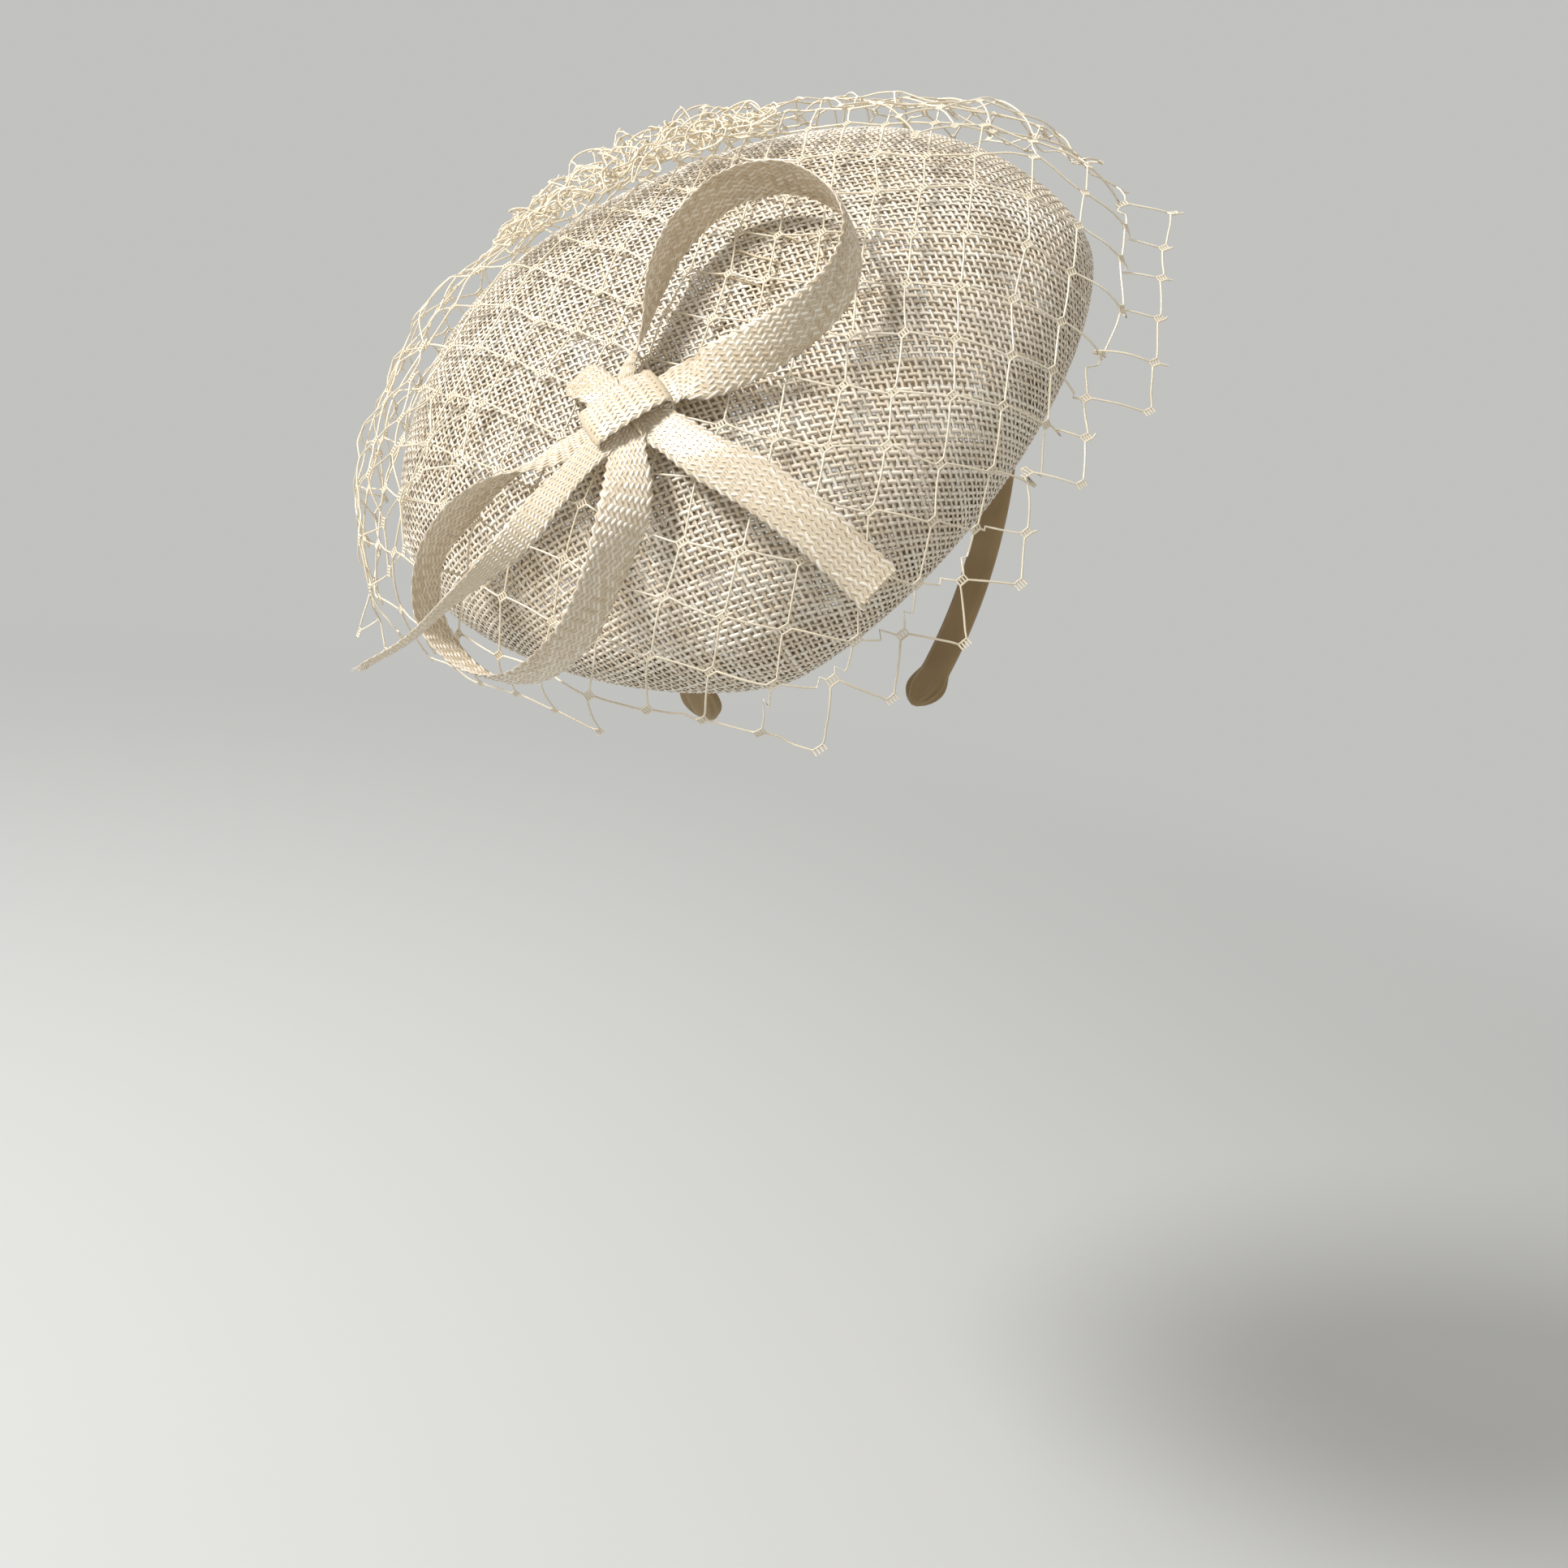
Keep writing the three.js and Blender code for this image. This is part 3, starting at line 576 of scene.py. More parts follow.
def metal_finish(name, colour, roughness):
    material = bpy.data.materials.new(name)
    material.use_nodes = True
    tree = material.node_tree
    shader = tree.nodes["Principled BSDF"]
    place = tree.nodes.new("ShaderNodeTexCoord")
    wear = noise_node(tree, stretch_node(tree, place.outputs["Object"], (30, 900, 900)), 1.0, 4.0)
    rough = math_node(tree, "ADD", math_node(tree, "MULTIPLY", wear, 0.2), roughness)
    tree.links.new(rough, shader.inputs["Roughness"])
    deep = tuple(0.75 * part for part in colour[:3]) + (1.0,)
    tree.links.new(blend_node(tree, wear, colour, deep), shader.inputs["Base Color"])
    shader.inputs["Metallic"].default_value = 1.0
    return material


STEEL = metal_finish("spring_steel", tone(0.72, 0.73, 0.74), 0.25)
WIRE = metal_finish("millinery_wire", tone(0.80, 0.78, 0.74), 0.3)
for node_name, finish in (("rim_wire", WIRE), ("rim_wire_joiner", WIRE),
                          ("band_core_arm_right_side", STEEL), ("band_core_crown_section", STEEL),
                          ("band_core_arm_left_side", STEEL)):
    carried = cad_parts[node_name]
    carried.data.materials.clear()
    carried.data.materials.append(finish)

# %% [markdown]
# ## The block: a dome that threads can be laid on
# Straw cloth is steamed over a wooden block. Here a flat sheet is laid on by measuring from the middle: a
# point goes out in its own direction, by its own distance, along the block's surface. Only distances from
# the middle are kept, so threads are drawn closer together round the shoulder. The egg outline is a circle
# with a few slow waves in it.

# %% The block's outline and profile
CROWN_RADIUS = 87.7
CROWN_HEIGHT = 42.3
SHOULDER_POWER = 2.8
TOP_POWER = 1.75
TURN_IN = 8.3
TURN_DROP = 9.0
MOUTH_RADIUS = CROWN_RADIUS - TURN_IN
PLAN_WAVES = ((2, 0.088, 4), (3, 0.04, 20), (4, 0.018, -2), (5, 0.02, -20))
FULL_TURN = 2 * np.pi


def plan_edge(turn):
    """The outline's point whose outward normal points along turn, for a mean radius of 1."""
    reach, slope = np.ones_like(turn), np.zeros_like(turn)
    for count, share, phase in PLAN_WAVES:
        wave = count * (turn - math.radians(phase))
        reach = reach + share * np.cos(wave)
        slope = slope - count * share * np.sin(wave)
    return np.stack([reach * np.cos(turn) - slope * np.sin(turn),
                     reach * np.sin(turn) + slope * np.cos(turn)], axis=-1)


TURN_STEPS = 6144
TURN_TABLE = np.linspace(-1.5 * FULL_TURN, 1.5 * FULL_TURN, TURN_STEPS + 1)
EDGE_TABLE = plan_edge(TURN_TABLE)
POLAR_TABLE = np.unwrap(np.arctan2(EDGE_TABLE[:, 1], EDGE_TABLE[:, 0]))
POLAR_TABLE -= FULL_TURN * np.round(POLAR_TABLE[TURN_STEPS // 2] / FULL_TURN)


def turn_at(polar):
    return np.interp(polar, POLAR_TABLE, TURN_TABLE)


def dome_height(share):
    return CROWN_HEIGHT * np.maximum(1 - share ** SHOULDER_POWER, 0) ** (1 / TOP_POWER)


def crown_profile(depth):
    """Radius and height down one meridian: way 0 is the top, 1 the widest line, 2 the mouth."""
    def at(turn, way):
        share = np.clip(way, 0, 1)
        down = np.clip(way - 1, 0, 1) * np.pi / 2
        radius = np.where(way <= 1, (CROWN_RADIUS - depth) * share,
                          MOUTH_RADIUS + (TURN_IN - depth) * np.cos(down))
        height = np.where(way <= 1, dome_height(share) * (1 - depth / CROWN_HEIGHT),
                          (depth - TURN_DROP) * np.sin(down))
        return radius, height
    return at


class Block:
    """A form that a flat sheet is laid on, from the middle outward."""

    def __init__(self, profile, last_way):
        self.profile = profile
        polar = np.linspace(-np.pi, np.pi, 181)
        # Steps are finer near the widest line, where the wall is steep.
        way = np.concatenate([np.sin(np.linspace(0, np.pi / 2, 500)), np.linspace(1, last_way, 161)[1:]])
        turn = turn_at(polar)[:, None]
        radius, height = profile(turn + 0 * way[None, :], way[None, :] + 0 * turn)
        out = np.linalg.norm(plan_edge(turn[:, 0]), axis=1)[:, None] * radius
        steps = np.hypot(np.diff(out, axis=1), np.diff(height, axis=1))
        arc = np.concatenate([np.zeros((len(polar), 1)), np.cumsum(steps, axis=1)], axis=1)
        self.reach = arc[:, -1]
        self.polar = polar
        self.lengths = np.linspace(0, arc.max(), 600)
        self.way_at = np.stack([np.interp(self.lengths, row, way) for row in arc])

    def reach_at(self, polar):
        return np.interp(polar, self.polar, self.reach)

    def way_of(self, polar, length):
        a = (polar + np.pi) / FULL_TURN * (len(self.polar) - 1)
        b = length / self.lengths[-1] * (len(self.lengths) - 1)
        i = np.clip(a.astype(int), 0, len(self.polar) - 2)
        j = np.clip(b.astype(int), 0, len(self.lengths) - 2)
        fa, fb = np.clip(a - i, 0, 1), np.clip(b - j, 0, 1)
        table = self.way_at
        near = table[i, j] * (1 - fb) + table[i, j + 1] * fb
        far = table[i + 1, j] * (1 - fb) + table[i + 1, j + 1] * fb
        return near * (1 - fa) + far * fa

    def place(self, polar, way):
        turn = turn_at(polar)
        radius, height = self.profile(turn, way)
        return np.concatenate([plan_edge(turn) * radius[..., None], height[..., None]], axis=-1)

    def lay(self, x, y):
        """Points of the flat sheet at x, y, laid on the form, and the way the form faces there."""
        polar, length = np.arctan2(y, x), np.hypot(x, y)
        way = np.maximum(self.way_of(polar, length), 0.002)
        here = self.place(polar, way)
        round_it = self.place(polar + 0.004, way) - self.place(polar - 0.004, way)
        down_it = self.place(polar, way + 0.002) - self.place(polar, np.maximum(way - 0.002, 0.0005))
        return here, unit(np.cross(down_it, round_it))


def on_sheet_fits(block, x, y, spare=0.0):
    return np.hypot(x, y) < block.reach_at(np.arctan2(y, x)) - spare


crown_block = Block(crown_profile(0.35), 2.0)
print("flat radius of the straw cloth, mm:", crown_block.reach.min().round(1), "to",
      crown_block.reach.max().round(1))

# %% [markdown]
# ## Straw cloth
# The cloth is a plain weave of single flat straws with gaps as wide as the straws, in two layers. The second
# layer lies a few degrees off the first, which gives the cloth its drifting pattern of open and closed
# patches. A texture would show the pattern but no depth, so every straw is real and passes over and under.


# %% Weave a layer
def woven_layer(block, seed, pitch, warp_angle, weft_angle, half, wander):
    """The two thread families of a plain weave laid on a block, as two lists of lines."""
    dice = np.random.default_rng(seed)
    reach = block.reach.max() + pitch
    count = int(reach * 1.12 / pitch)
    index = np.arange(-count, count + 1)
    warp, weft = np.meshgrid(index * pitch, index * pitch, indexing="ij")
    warp = warp + wander * (0.5 - dice.random((len(index), 1))) * pitch
    weft = weft + wander * (0.5 - dice.random((1, len(index)))) * pitch
    for first, second in ((warp, weft), (weft, warp)):
        for length in (37.0, 90.0):
            first += 0.14 * pitch * np.sin(second / length * FULL_TURN + first * 0.05 + dice.random() * 6)
    a, b = math.radians(warp_angle), math.radians(weft_angle)
    # A warp line is crossed along the weft's way, so the two ways place the crossings.
    x = warp * math.cos(b) + weft * math.cos(a)
    y = warp * math.sin(b) + weft * math.sin(a)
    points, facing = block.lay(x, y)
    inside = on_sheet_fits(block, x, y)
    parity = np.where((index[:, None] + index[None, :]) % 2 == 0, 1.0, -1.0)
    families = []
    grids = (points, facing, parity, inside)
    for over in (1, -1):
        lines = []
        for points_row, facing_row, parity_row, inside_row in zip(*grids):
            keep = np.flatnonzero(inside_row)
            if len(keep) < 3:
                dice.random(2)
                continue
            span = slice(keep[0], keep[-1] + 1)
            width = half * (0.78 + 0.5 * dice.random())
            lines.append(line(points_row[span], facing_row[span], width, over * parity_row[span],
                              dice.random()))
        families.append(lines)
        grids = [np.swapaxes(grid, 0, 1) for grid in grids]
    return families


STRAW_FLATNESS = 0.26
STRAW_OVER = 0.17
top_warp, top_weft = woven_layer(crown_block, 3, 1.68, 93, -9, 0.45, 0.3)
under_block = Block(crown_profile(1.6), 2.0)
under_warp, under_weft = woven_layer(under_block, 8, 1.62, 97, -5, 0.43, 0.3)
straw_pieces = {
    "crown_straw_warp": (top_warp, STRAW, "straw", ["crown_shell"]),
    "crown_straw_weft": (top_weft, STRAW, "straw", ["crown_shell"]),
    "under_straw_warp": (under_warp, STRAW_UNDER_PAINTED_SHADE, "straw_lining", ["crown_lining"]),
    "under_straw_weft": (under_weft, STRAW_UNDER_PAINTED_SHADE, "straw_lining", ["crown_lining"]),
}
for name, (lines, finish, slot, nodes) in straw_pieces.items():
    piece = spin_threads(name, lines, finish, STRAW_FLATNESS, STRAW_OVER, SIDES_OF_STRAW)
    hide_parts(*nodes)
    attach(piece, "hat")

# %% [markdown]
# ## The net veil
# Veiling is made of zigzag cords. Where two neighbours meet they run side by side for a few millimetres and
# are joined by tiny bars, a ladder knot. A texture on a shell would look flat at the free edge, so each cord
# is laid out flat as a zigzag, laid over a form that stands off the crown, and spun by the thread tree.
# Cords are followed only where a kept knot holds them, and most end there in a short stub, as on trimmed
# veiling.

# %% The form that the veil lies on
VEIL_REST = 1.3
VEIL_STANDOFF = 6.0
VEIL_EDGE = 1.1
VEIL_FRONT_EDGE = 0.14
VEIL_FRONT = math.radians(-38)
VEIL_EDGE_Z = -5.0
VEIL_MIDDLE = 0.3


def veil_profile(turn, way):
    share, apron = np.clip(way, 0, 1), np.clip(way - 1, 0, 1)
    off = VEIL_REST + VEIL_MIDDLE + VEIL_STANDOFF * share ** 5
    front = np.maximum(0, np.cos(turn - VEIL_FRONT))
    edge = CROWN_RADIUS * (VEIL_EDGE + VEIL_FRONT_EDGE * front ** 2)
    hem_radius = CROWN_RADIUS + VEIL_REST + VEIL_MIDDLE + VEIL_STANDOFF
    hem_z = 0.4 * (VEIL_REST + VEIL_MIDDLE + VEIL_STANDOFF)
    radius = np.where(way <= 1, CROWN_RADIUS * share + off * share ** 2,
                      hem_radius + (edge - hem_radius) * apron)
    height = np.where(way <= 1, dome_height(share) + off * (1 - 0.6 * share ** 6),
                      hem_z + (VEIL_EDGE_Z - hem_z) * apron ** 1.5)
    return radius, height


veil_block = Block(veil_profile, 2.0)
print("flat radius of the veil, mm:", veil_block.reach.min().round(1), "to", veil_block.reach.max().round(1))

# %% Lay out net cords
CORD_GAP = 1.45
LADDER_RUN = 2.4
LADDER_BARS = 4
CORD_HALF = 0.26
BAR_HALF = 0.24
STUB = 2.0


def cell_columns(width, count):
    """Places of the knot columns, half a cell apart."""
    return np.arange(-count, count + 1) * width


FAN_PIVOT = np.array((-15.0, -60.0))
FAN_CLOSE = math.radians(-25)
FAN_FROM = -85.0
FAN_TO = 85.0


def fan(x, y):
    """Close the net's left side round a point at the front, which gathers it at the back."""
    t = np.clip((x - FAN_FROM) / (FAN_TO - FAN_FROM), 0, 1)
    turn = FAN_CLOSE * (1 - t * t * (3 - 2 * t))
    dx, dy = x - FAN_PIVOT[0], y - FAN_PIVOT[1]
    return (FAN_PIVOT[0] + np.cos(turn) * dx - np.sin(turn) * dy,
            FAN_PIVOT[1] + np.sin(turn) * dx + np.cos(turn) * dy)


def net_layer(block, seed, columns, row, angle, keep, raise_by, jitter, bend=fan):
    """All cords and ladder bars of one piece of net, as lines on the block."""
    dice = np.random.default_rng(seed)
    levels = int(1.8 * block.reach.max() / row) * 2
    n_count, k_count = len(columns), levels + 1
    x = columns[:, None] + jitter * (dice.random((n_count, k_count)) - 0.5)
    y = (np.arange(k_count) - levels / 2)[None, :] * row + jitter * (dice.random((n_count, k_count)) - 0.5)
    swell = dice.random((n_count, k_count))
    c, s = math.cos(math.radians(angle)), math.sin(math.radians(angle))

    def turned(px, py):
        return bend(c * px - s * py, s * px + c * py)

    kept = keep(*turned(x, y))
    even = (np.arange(n_count)[:, None] + np.arange(k_count)[None, :]) % 2 == 0
    kept = kept & even

    def has(n, k):
        return 0 <= n < n_count and 0 <= k < k_count and bool(kept[n, k])

    flat_lines = []
    for k in range(k_count - 1):
        run, rises = [], []
        for n in range(n_count - 1):
            high = (n + k) % 2 == 0
            joined = (has(n, k) or has(n + 1, k + 1)) if high else (has(n, k + 1) or has(n + 1, k))
            if not joined:
                if run:
                    stub = (STUB * dice.random() + 0.8) * np.array([0.7, dice.random() - 0.5])
                    run.append(tuple(np.array(run[-1]) + stub))
                    rises.append(rises[-1])
                    flat_lines.append((run, rises, CORD_HALF, dice.random()))
                run, rises = [], []
                continue
            for step, at in ((0, n), (1, n + 1)):
                level = (k + 1 if high else k) if step == 0 else (k if high else k + 1)
                side = -1 if level == k + 1 else 1
                middle = np.array([x[at, level], y[at, level] + side * CORD_GAP / 2])
                if step == 0 and run:
                    continue
                lead = [middle - (LADDER_RUN / 2, 0), middle, middle + (LADDER_RUN / 2, 0)]
                if step == 1:
                    start, goal = np.array(run[-1]), lead[0]
                    bow = 0.7 * (dice.random() - 0.5)
                    for t in (0.15, 0.35, 0.5, 0.65, 0.85):
                        ease = t * t * (3 - 2 * t)
                        point = start + (goal - start) * (0.35 * ease + 0.65 * t)
                        run.append(tuple(point + (0, bow * math.sin(math.pi * t))))
                        rises.append(rises[-1] * (1 - t) + swell[at, level] * t)
                run += [tuple(point) for point in lead]
                rises += [swell[at, level]] * 3
        if run:
            flat_lines.append((run, rises, CORD_HALF, dice.random()))
    for n in range(n_count):
        for k in range(k_count):
            if even[n, k] or not any(has(n + a, k + b) for a, b in ((1, 0), (-1, 0), (0, 1), (0, -1))):
                continue
            for offset in np.linspace(-LADDER_RUN / 2, LADDER_RUN / 2, LADDER_BARS):
                bar = [(x[n, k] + offset, y[n, k] + h * CORD_GAP / 2) for h in (-1, 0, 1)]
                flat_lines.append((bar, [swell[n, k]] * 3, BAR_HALF, 0.4))
    lines = []
    for run, rises, half_width, shade in flat_lines:
        px, py = turned(*np.array(run).T)
        over = np.hypot(px, py) - (block.reach_at(np.arctan2(py, px)) - 0.5)
        points, facing = block.lay(px, py)
        outward = np.stack([np.cos(np.arctan2(py, px)), np.sin(np.arctan2(py, px)), -0.5 + 0 * px], -1)
        points = points + np.maximum(over, 0)[:, None] * outward * 0.9
        points = points + facing * raise_by(px, py, np.array(rises))[:, None]
        lines.append(line(points, facing, half_width, 0.0, shade))
    return lines


NET_HALF_CELL = 9.7
NET_ROW = 9.5
VEIL_TRIM = 7.5


def on_veil(x, y):
    return on_sheet_fits(veil_block, x, y, VEIL_TRIM)


def veil_waves(x, y, rises):
    ripple = 0.5 + 0.5 * np.sin(x / 11.0 + 0.7) * np.sin(y / 13.0 + 1.9)
    out = np.clip((np.hypot(x, y) - 45) / 60, 0, 1)
    return rises * (0.5 + 2.6 * out) + 2.4 * ripple * out


veil_lines = net_layer(veil_block, 21, cell_columns(NET_HALF_CELL, 24), NET_ROW, 20, on_veil, veil_waves, 1.9)
net_pieces = {"veil_net_cords": (veil_lines, "veil_net")}


# %% The second thickness of net over the back and top
FOLD_HALF_CELL = 8.8
FOLD_ROW = 8.2


def over_back(x, y):
    polar, length = np.degrees(np.arctan2(y, x)), np.hypot(x, y)
    back = (polar > 12) | (polar < -168)
    return back & (length > 62 + 14 * np.sin(np.radians(polar * 3))) & on_sheet_fits(veil_block, x, y, 1.0)


def fold_waves(x, y, rises):
    return 1.6 + 3.2 * rises + 1.6 * np.sin(x / 9.0) * np.sin(y / 10.0)


fold_lines = net_layer(veil_block, 34, cell_columns(FOLD_HALF_CELL, 26), FOLD_ROW, 52, over_back, fold_waves,
                       2.8)
net_pieces["veil_net_fold"] = (fold_lines, None)

# %% [markdown]
# ## The gathered bunch
# At the back the net's cut edge is drawn up on a thread into a dense crumpled bunch. It is the same net, laid
# on a path instead of the crown: its length is drawn up to a third, and it is pushed into small folds.


# %% A crumpled form for the bunch
def smooth_path(stations, count):
    """A curve through the stations, by their number, with its first and last point kept."""
    stations = np.asarray(stations, float)
    padded = np.concatenate([[2 * stations[0] - stations[1]], stations, [2 * stations[-1] - stations[-2]]])
    t = np.linspace(0, len(stations) - 1, count)
    i = np.minimum(t.astype(int), len(stations) - 2)
    f = (t - i)[:, None]
    a, b, c, d = padded[i], padded[i + 1], padded[i + 2], padded[i + 3]
    bend, twist = 2 * a - 5 * b + 4 * c - d, 3 * b - a - 3 * c + d
    return 0.5 * (2 * b + (c - a) * f + bend * f ** 2 + twist * f ** 3)


GATHER_PATH = ((-38, 47, 38.6), (-20, 50.5, 39.6), (0, 52, 40), (20, 49, 40), (36, 42, 40))
GATHER_CLOTH = 125.0
GATHER_DEPTH = 30.0


class Gathers:
    """Net drawn up along a path: it answers the same questions as a block."""

    def __init__(self, fold, rise):
        self.reach = np.array([GATHER_CLOTH])
        self.fold = fold
        self.rise = rise
        self.path = smooth_path(GATHER_PATH, 400)
        self.forward = unit(np.gradient(self.path, axis=0))
        up = unit(np.broadcast_to((0.0, 0.35, 1.0), self.path.shape))
        self.side = unit(np.cross(up, self.forward))
        self.up = np.cross(self.forward, self.side)

    def reach_at(self, polar):
        return np.full(np.shape(polar), 2 * GATHER_CLOTH)

    def lay(self, x, y):
        share = np.clip(0.5 + x / (2 * GATHER_CLOTH), 0, 1)
        i = (share * 399).astype(int)
        full = np.sin(np.pi * (0.08 + 0.84 * share))
        push = self.fold
        wide = y / GATHER_DEPTH * (4 + 8 * full) + 2.0 * full * np.sin(x / 6.1 + y / 7 + push)
        tall = (0.8 + 2.4 * full) * (0.5 + 0.6 * np.sin(x / 5.3 + 1.5 * np.sin(y / 8) + push))
        along = 2.2 * np.sin(x / 8.3 + y / 5.2 + 2 * push)
        points = (self.path[i] + self.side[i] * wide[..., None] + self.up[i] * (tall + self.rise)[..., None]
                  + self.forward[i] * along[..., None])
        return points, self.up[i]


# %% Lay net on the gathers
GATHER_HALF_CELL = 8.4
GATHER_ROW = 9.0


def in_gathers(x, y):
    return (np.abs(x) < GATHER_CLOTH) & (np.abs(y) < GATHER_DEPTH)


def gather_waves(x, y, rises):
    return rises * 1.2


def unbent(x, y):
    return x, y


gather_lines = []
for seed, fold_start, rise in ((51, 0.0, 0.2), (52, 1.9, 1.2)):
    gather_lines += net_layer(Gathers(fold_start, rise), seed, cell_columns(GATHER_HALF_CELL, 22), GATHER_ROW,
                              7 + seed, in_gathers, gather_waves, 4.0, unbent)
net_pieces["veil_gather_cords"] = (gather_lines, "veil_gather")

# %% Spin the net
# The net's cut takes in its holes, and the cords cover far less of it than a cloth does.
for name, (lines, node) in net_pieces.items():
    piece = spin_threads(name, lines, NET)
    if node:
        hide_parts(node)
    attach(piece, "hat")

# %% [markdown]
# ## The ribbon bow
# The bow's pieces are all one kind of flat braid of split straw: strands that run from edge to edge at a
# slant and turn back, over one strand and under the next. Each piece gets a thin core sheet, which gives it
# a body, and its strands are laid over the core along the ribbon's own length and width.

# %% Ribbon frames and braid
RIBBON_WIDTH = 12.0
RIBBON_STEP = 0.75
BOW_LIFT = 0.7
CORE_HALF = 0.1
CORE_COLUMNS = 13
BRAID_STRANDS = 17
BRAID_PERIOD = 50.0
STRAND_HALF = 0.47
STRAND_FLATNESS = 0.3
STRAND_LIFT = 0.15
CUP = 0.5


def read_off(where, along, values):
    """Rows of values known at the lengths along, read off at the lengths where."""
    return np.stack([np.interp(where, along, column) for column in values.T], -1)


def ribbon_frames(stations, ripple, seed):
    dice = np.random.default_rng(seed)
    at = smooth_path([s[0] for s in stations], 600) + (0, 0, BOW_LIFT)
    face = smooth_path([unit(np.array(s[1], float)) for s in stations], 600)
    width = smooth_path([[s[2], 0, 0] for s in stations], 600)[:, 0]
    along = np.concatenate([[0], np.cumsum(np.linalg.norm(np.diff(at, axis=0), axis=1))])
    even = np.linspace(0, along[-1], int(along[-1] / RIBBON_STEP) + 1)
    point, face = read_off(even, along, at), unit(read_off(even, along, face))
    forward = unit(np.gradient(point, axis=0))
    side = unit(np.cross(face, forward))
    up = np.cross(forward, side)
    wave = sum(np.sin(even / length + dice.random() * 6) for length in (5.3, 8.9, 14.1)) / 3
    return {"s": even, "point": point + up * (ripple * wave)[:, None], "side": side, "up": up,
            "width": np.interp(even, along, width)}


def on_ribbon(frames, s, across, out):
    """Points at a way along, a share of the half width across, and a height off the middle sheet."""
    point, side, up = (read_off(s, frames["s"], frames[key]) for key in ("point", "side", "up"))
    half_width = np.interp(s, frames["s"], frames["width"]) / 2
    up = unit(up)
    height = out - CUP * (across ** 2 - 0.33) * (half_width / 6) ** 2
    return point + unit(side) * (across * half_width)[:, None] + up * height[:, None], up


def braid_lines(frames, seed):
    dice = np.random.default_rng(seed)
    step = BRAID_PERIOD / (2 * BRAID_STRANDS)
    count = int(frames["s"][-1] / step)
    k = np.arange(count + 1)
    lines = []
    for n in range(BRAID_STRANDS):
        phase = (k + 2 * n) % (2 * BRAID_STRANDS)
        rising = phase < BRAID_STRANDS
        level = np.where(rising, phase, 2 * BRAID_STRANDS - phase)
        across = (2 * level / BRAID_STRANDS - 1) * 0.95
        lift = np.where(rising, 1.0, -1.0) * np.where(level % 2 == 0, 1.0, -1.0)
        lift = np.where((level == 0) | (level == BRAID_STRANDS), 0.0, lift)
        s = np.clip(k * step + 0.25 * (dice.random(len(k)) - 0.5), 0, frames["s"][-1])
        narrow = np.clip(np.interp(s, frames["s"], frames["width"]) / RIBBON_WIDTH, 0.35, 1)
        points, up = on_ribbon(frames, s, across, 0.0 * s)
        width = STRAND_HALF * (0.85 + 0.3 * dice.random()) * narrow
        lines.append(line(points, up, width, lift, dice.random()))
    return lines


def ribbon_core(name, frames):
    """The thin closed sheet inside a braid."""
    across = np.linspace(-1, 1, CORE_COLUMNS)
    rings, flat = [], []
    for s in frames["s"]:
        here = np.full(CORE_COLUMNS, s)
        top, _ = on_ribbon(frames, here, across * 0.93, np.full(CORE_COLUMNS, CORE_HALF))
        under, _ = on_ribbon(frames, here, across[::-1] * 0.93, np.full(CORE_COLUMNS, -CORE_HALF))
        rings.append(np.concatenate([top, under]))
        flat.append([(s * MM, w * 0.006) for w in np.concatenate([across, across[::-1]])])
    # The core's darker straw finish is painted shade for the gaps between the strands.
    return solid_piece(name, hat_to_part(np.array(rings)), RIBBON_CORE_PAINTED_SHADE, flat)


def ribbon_piece(name, node, stations, seed, ripple=0.35):
    frames = ribbon_frames(stations, ripple, seed)
    core = ribbon_core(name, frames)
    braid = spin_threads(name + "_braid", braid_lines(frames, seed), RIBBON, STRAND_FLATNESS, STRAND_LIFT,
                         SIDES_OF_STRAW)
    for piece in (core, braid):
        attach(piece, "hat")
    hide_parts(node)
    length = frames["s"][-1]
    cloth = float(np.sum(np.diff(frames["s"]) * (frames["width"][1:] + frames["width"][:-1]) / 2))
    shown = cloth / (RIBBON_WIDTH * length)
    # The left tail is rolled up along its length, and its core is only as wide as what shows. That is under
    # half of its cloth, so its size as cut isn't the size of what is modelled.
    print(f"{name}: {length:.0f} mm of ribbon, {shown:.2f} of its width modelled on average")
    return frames


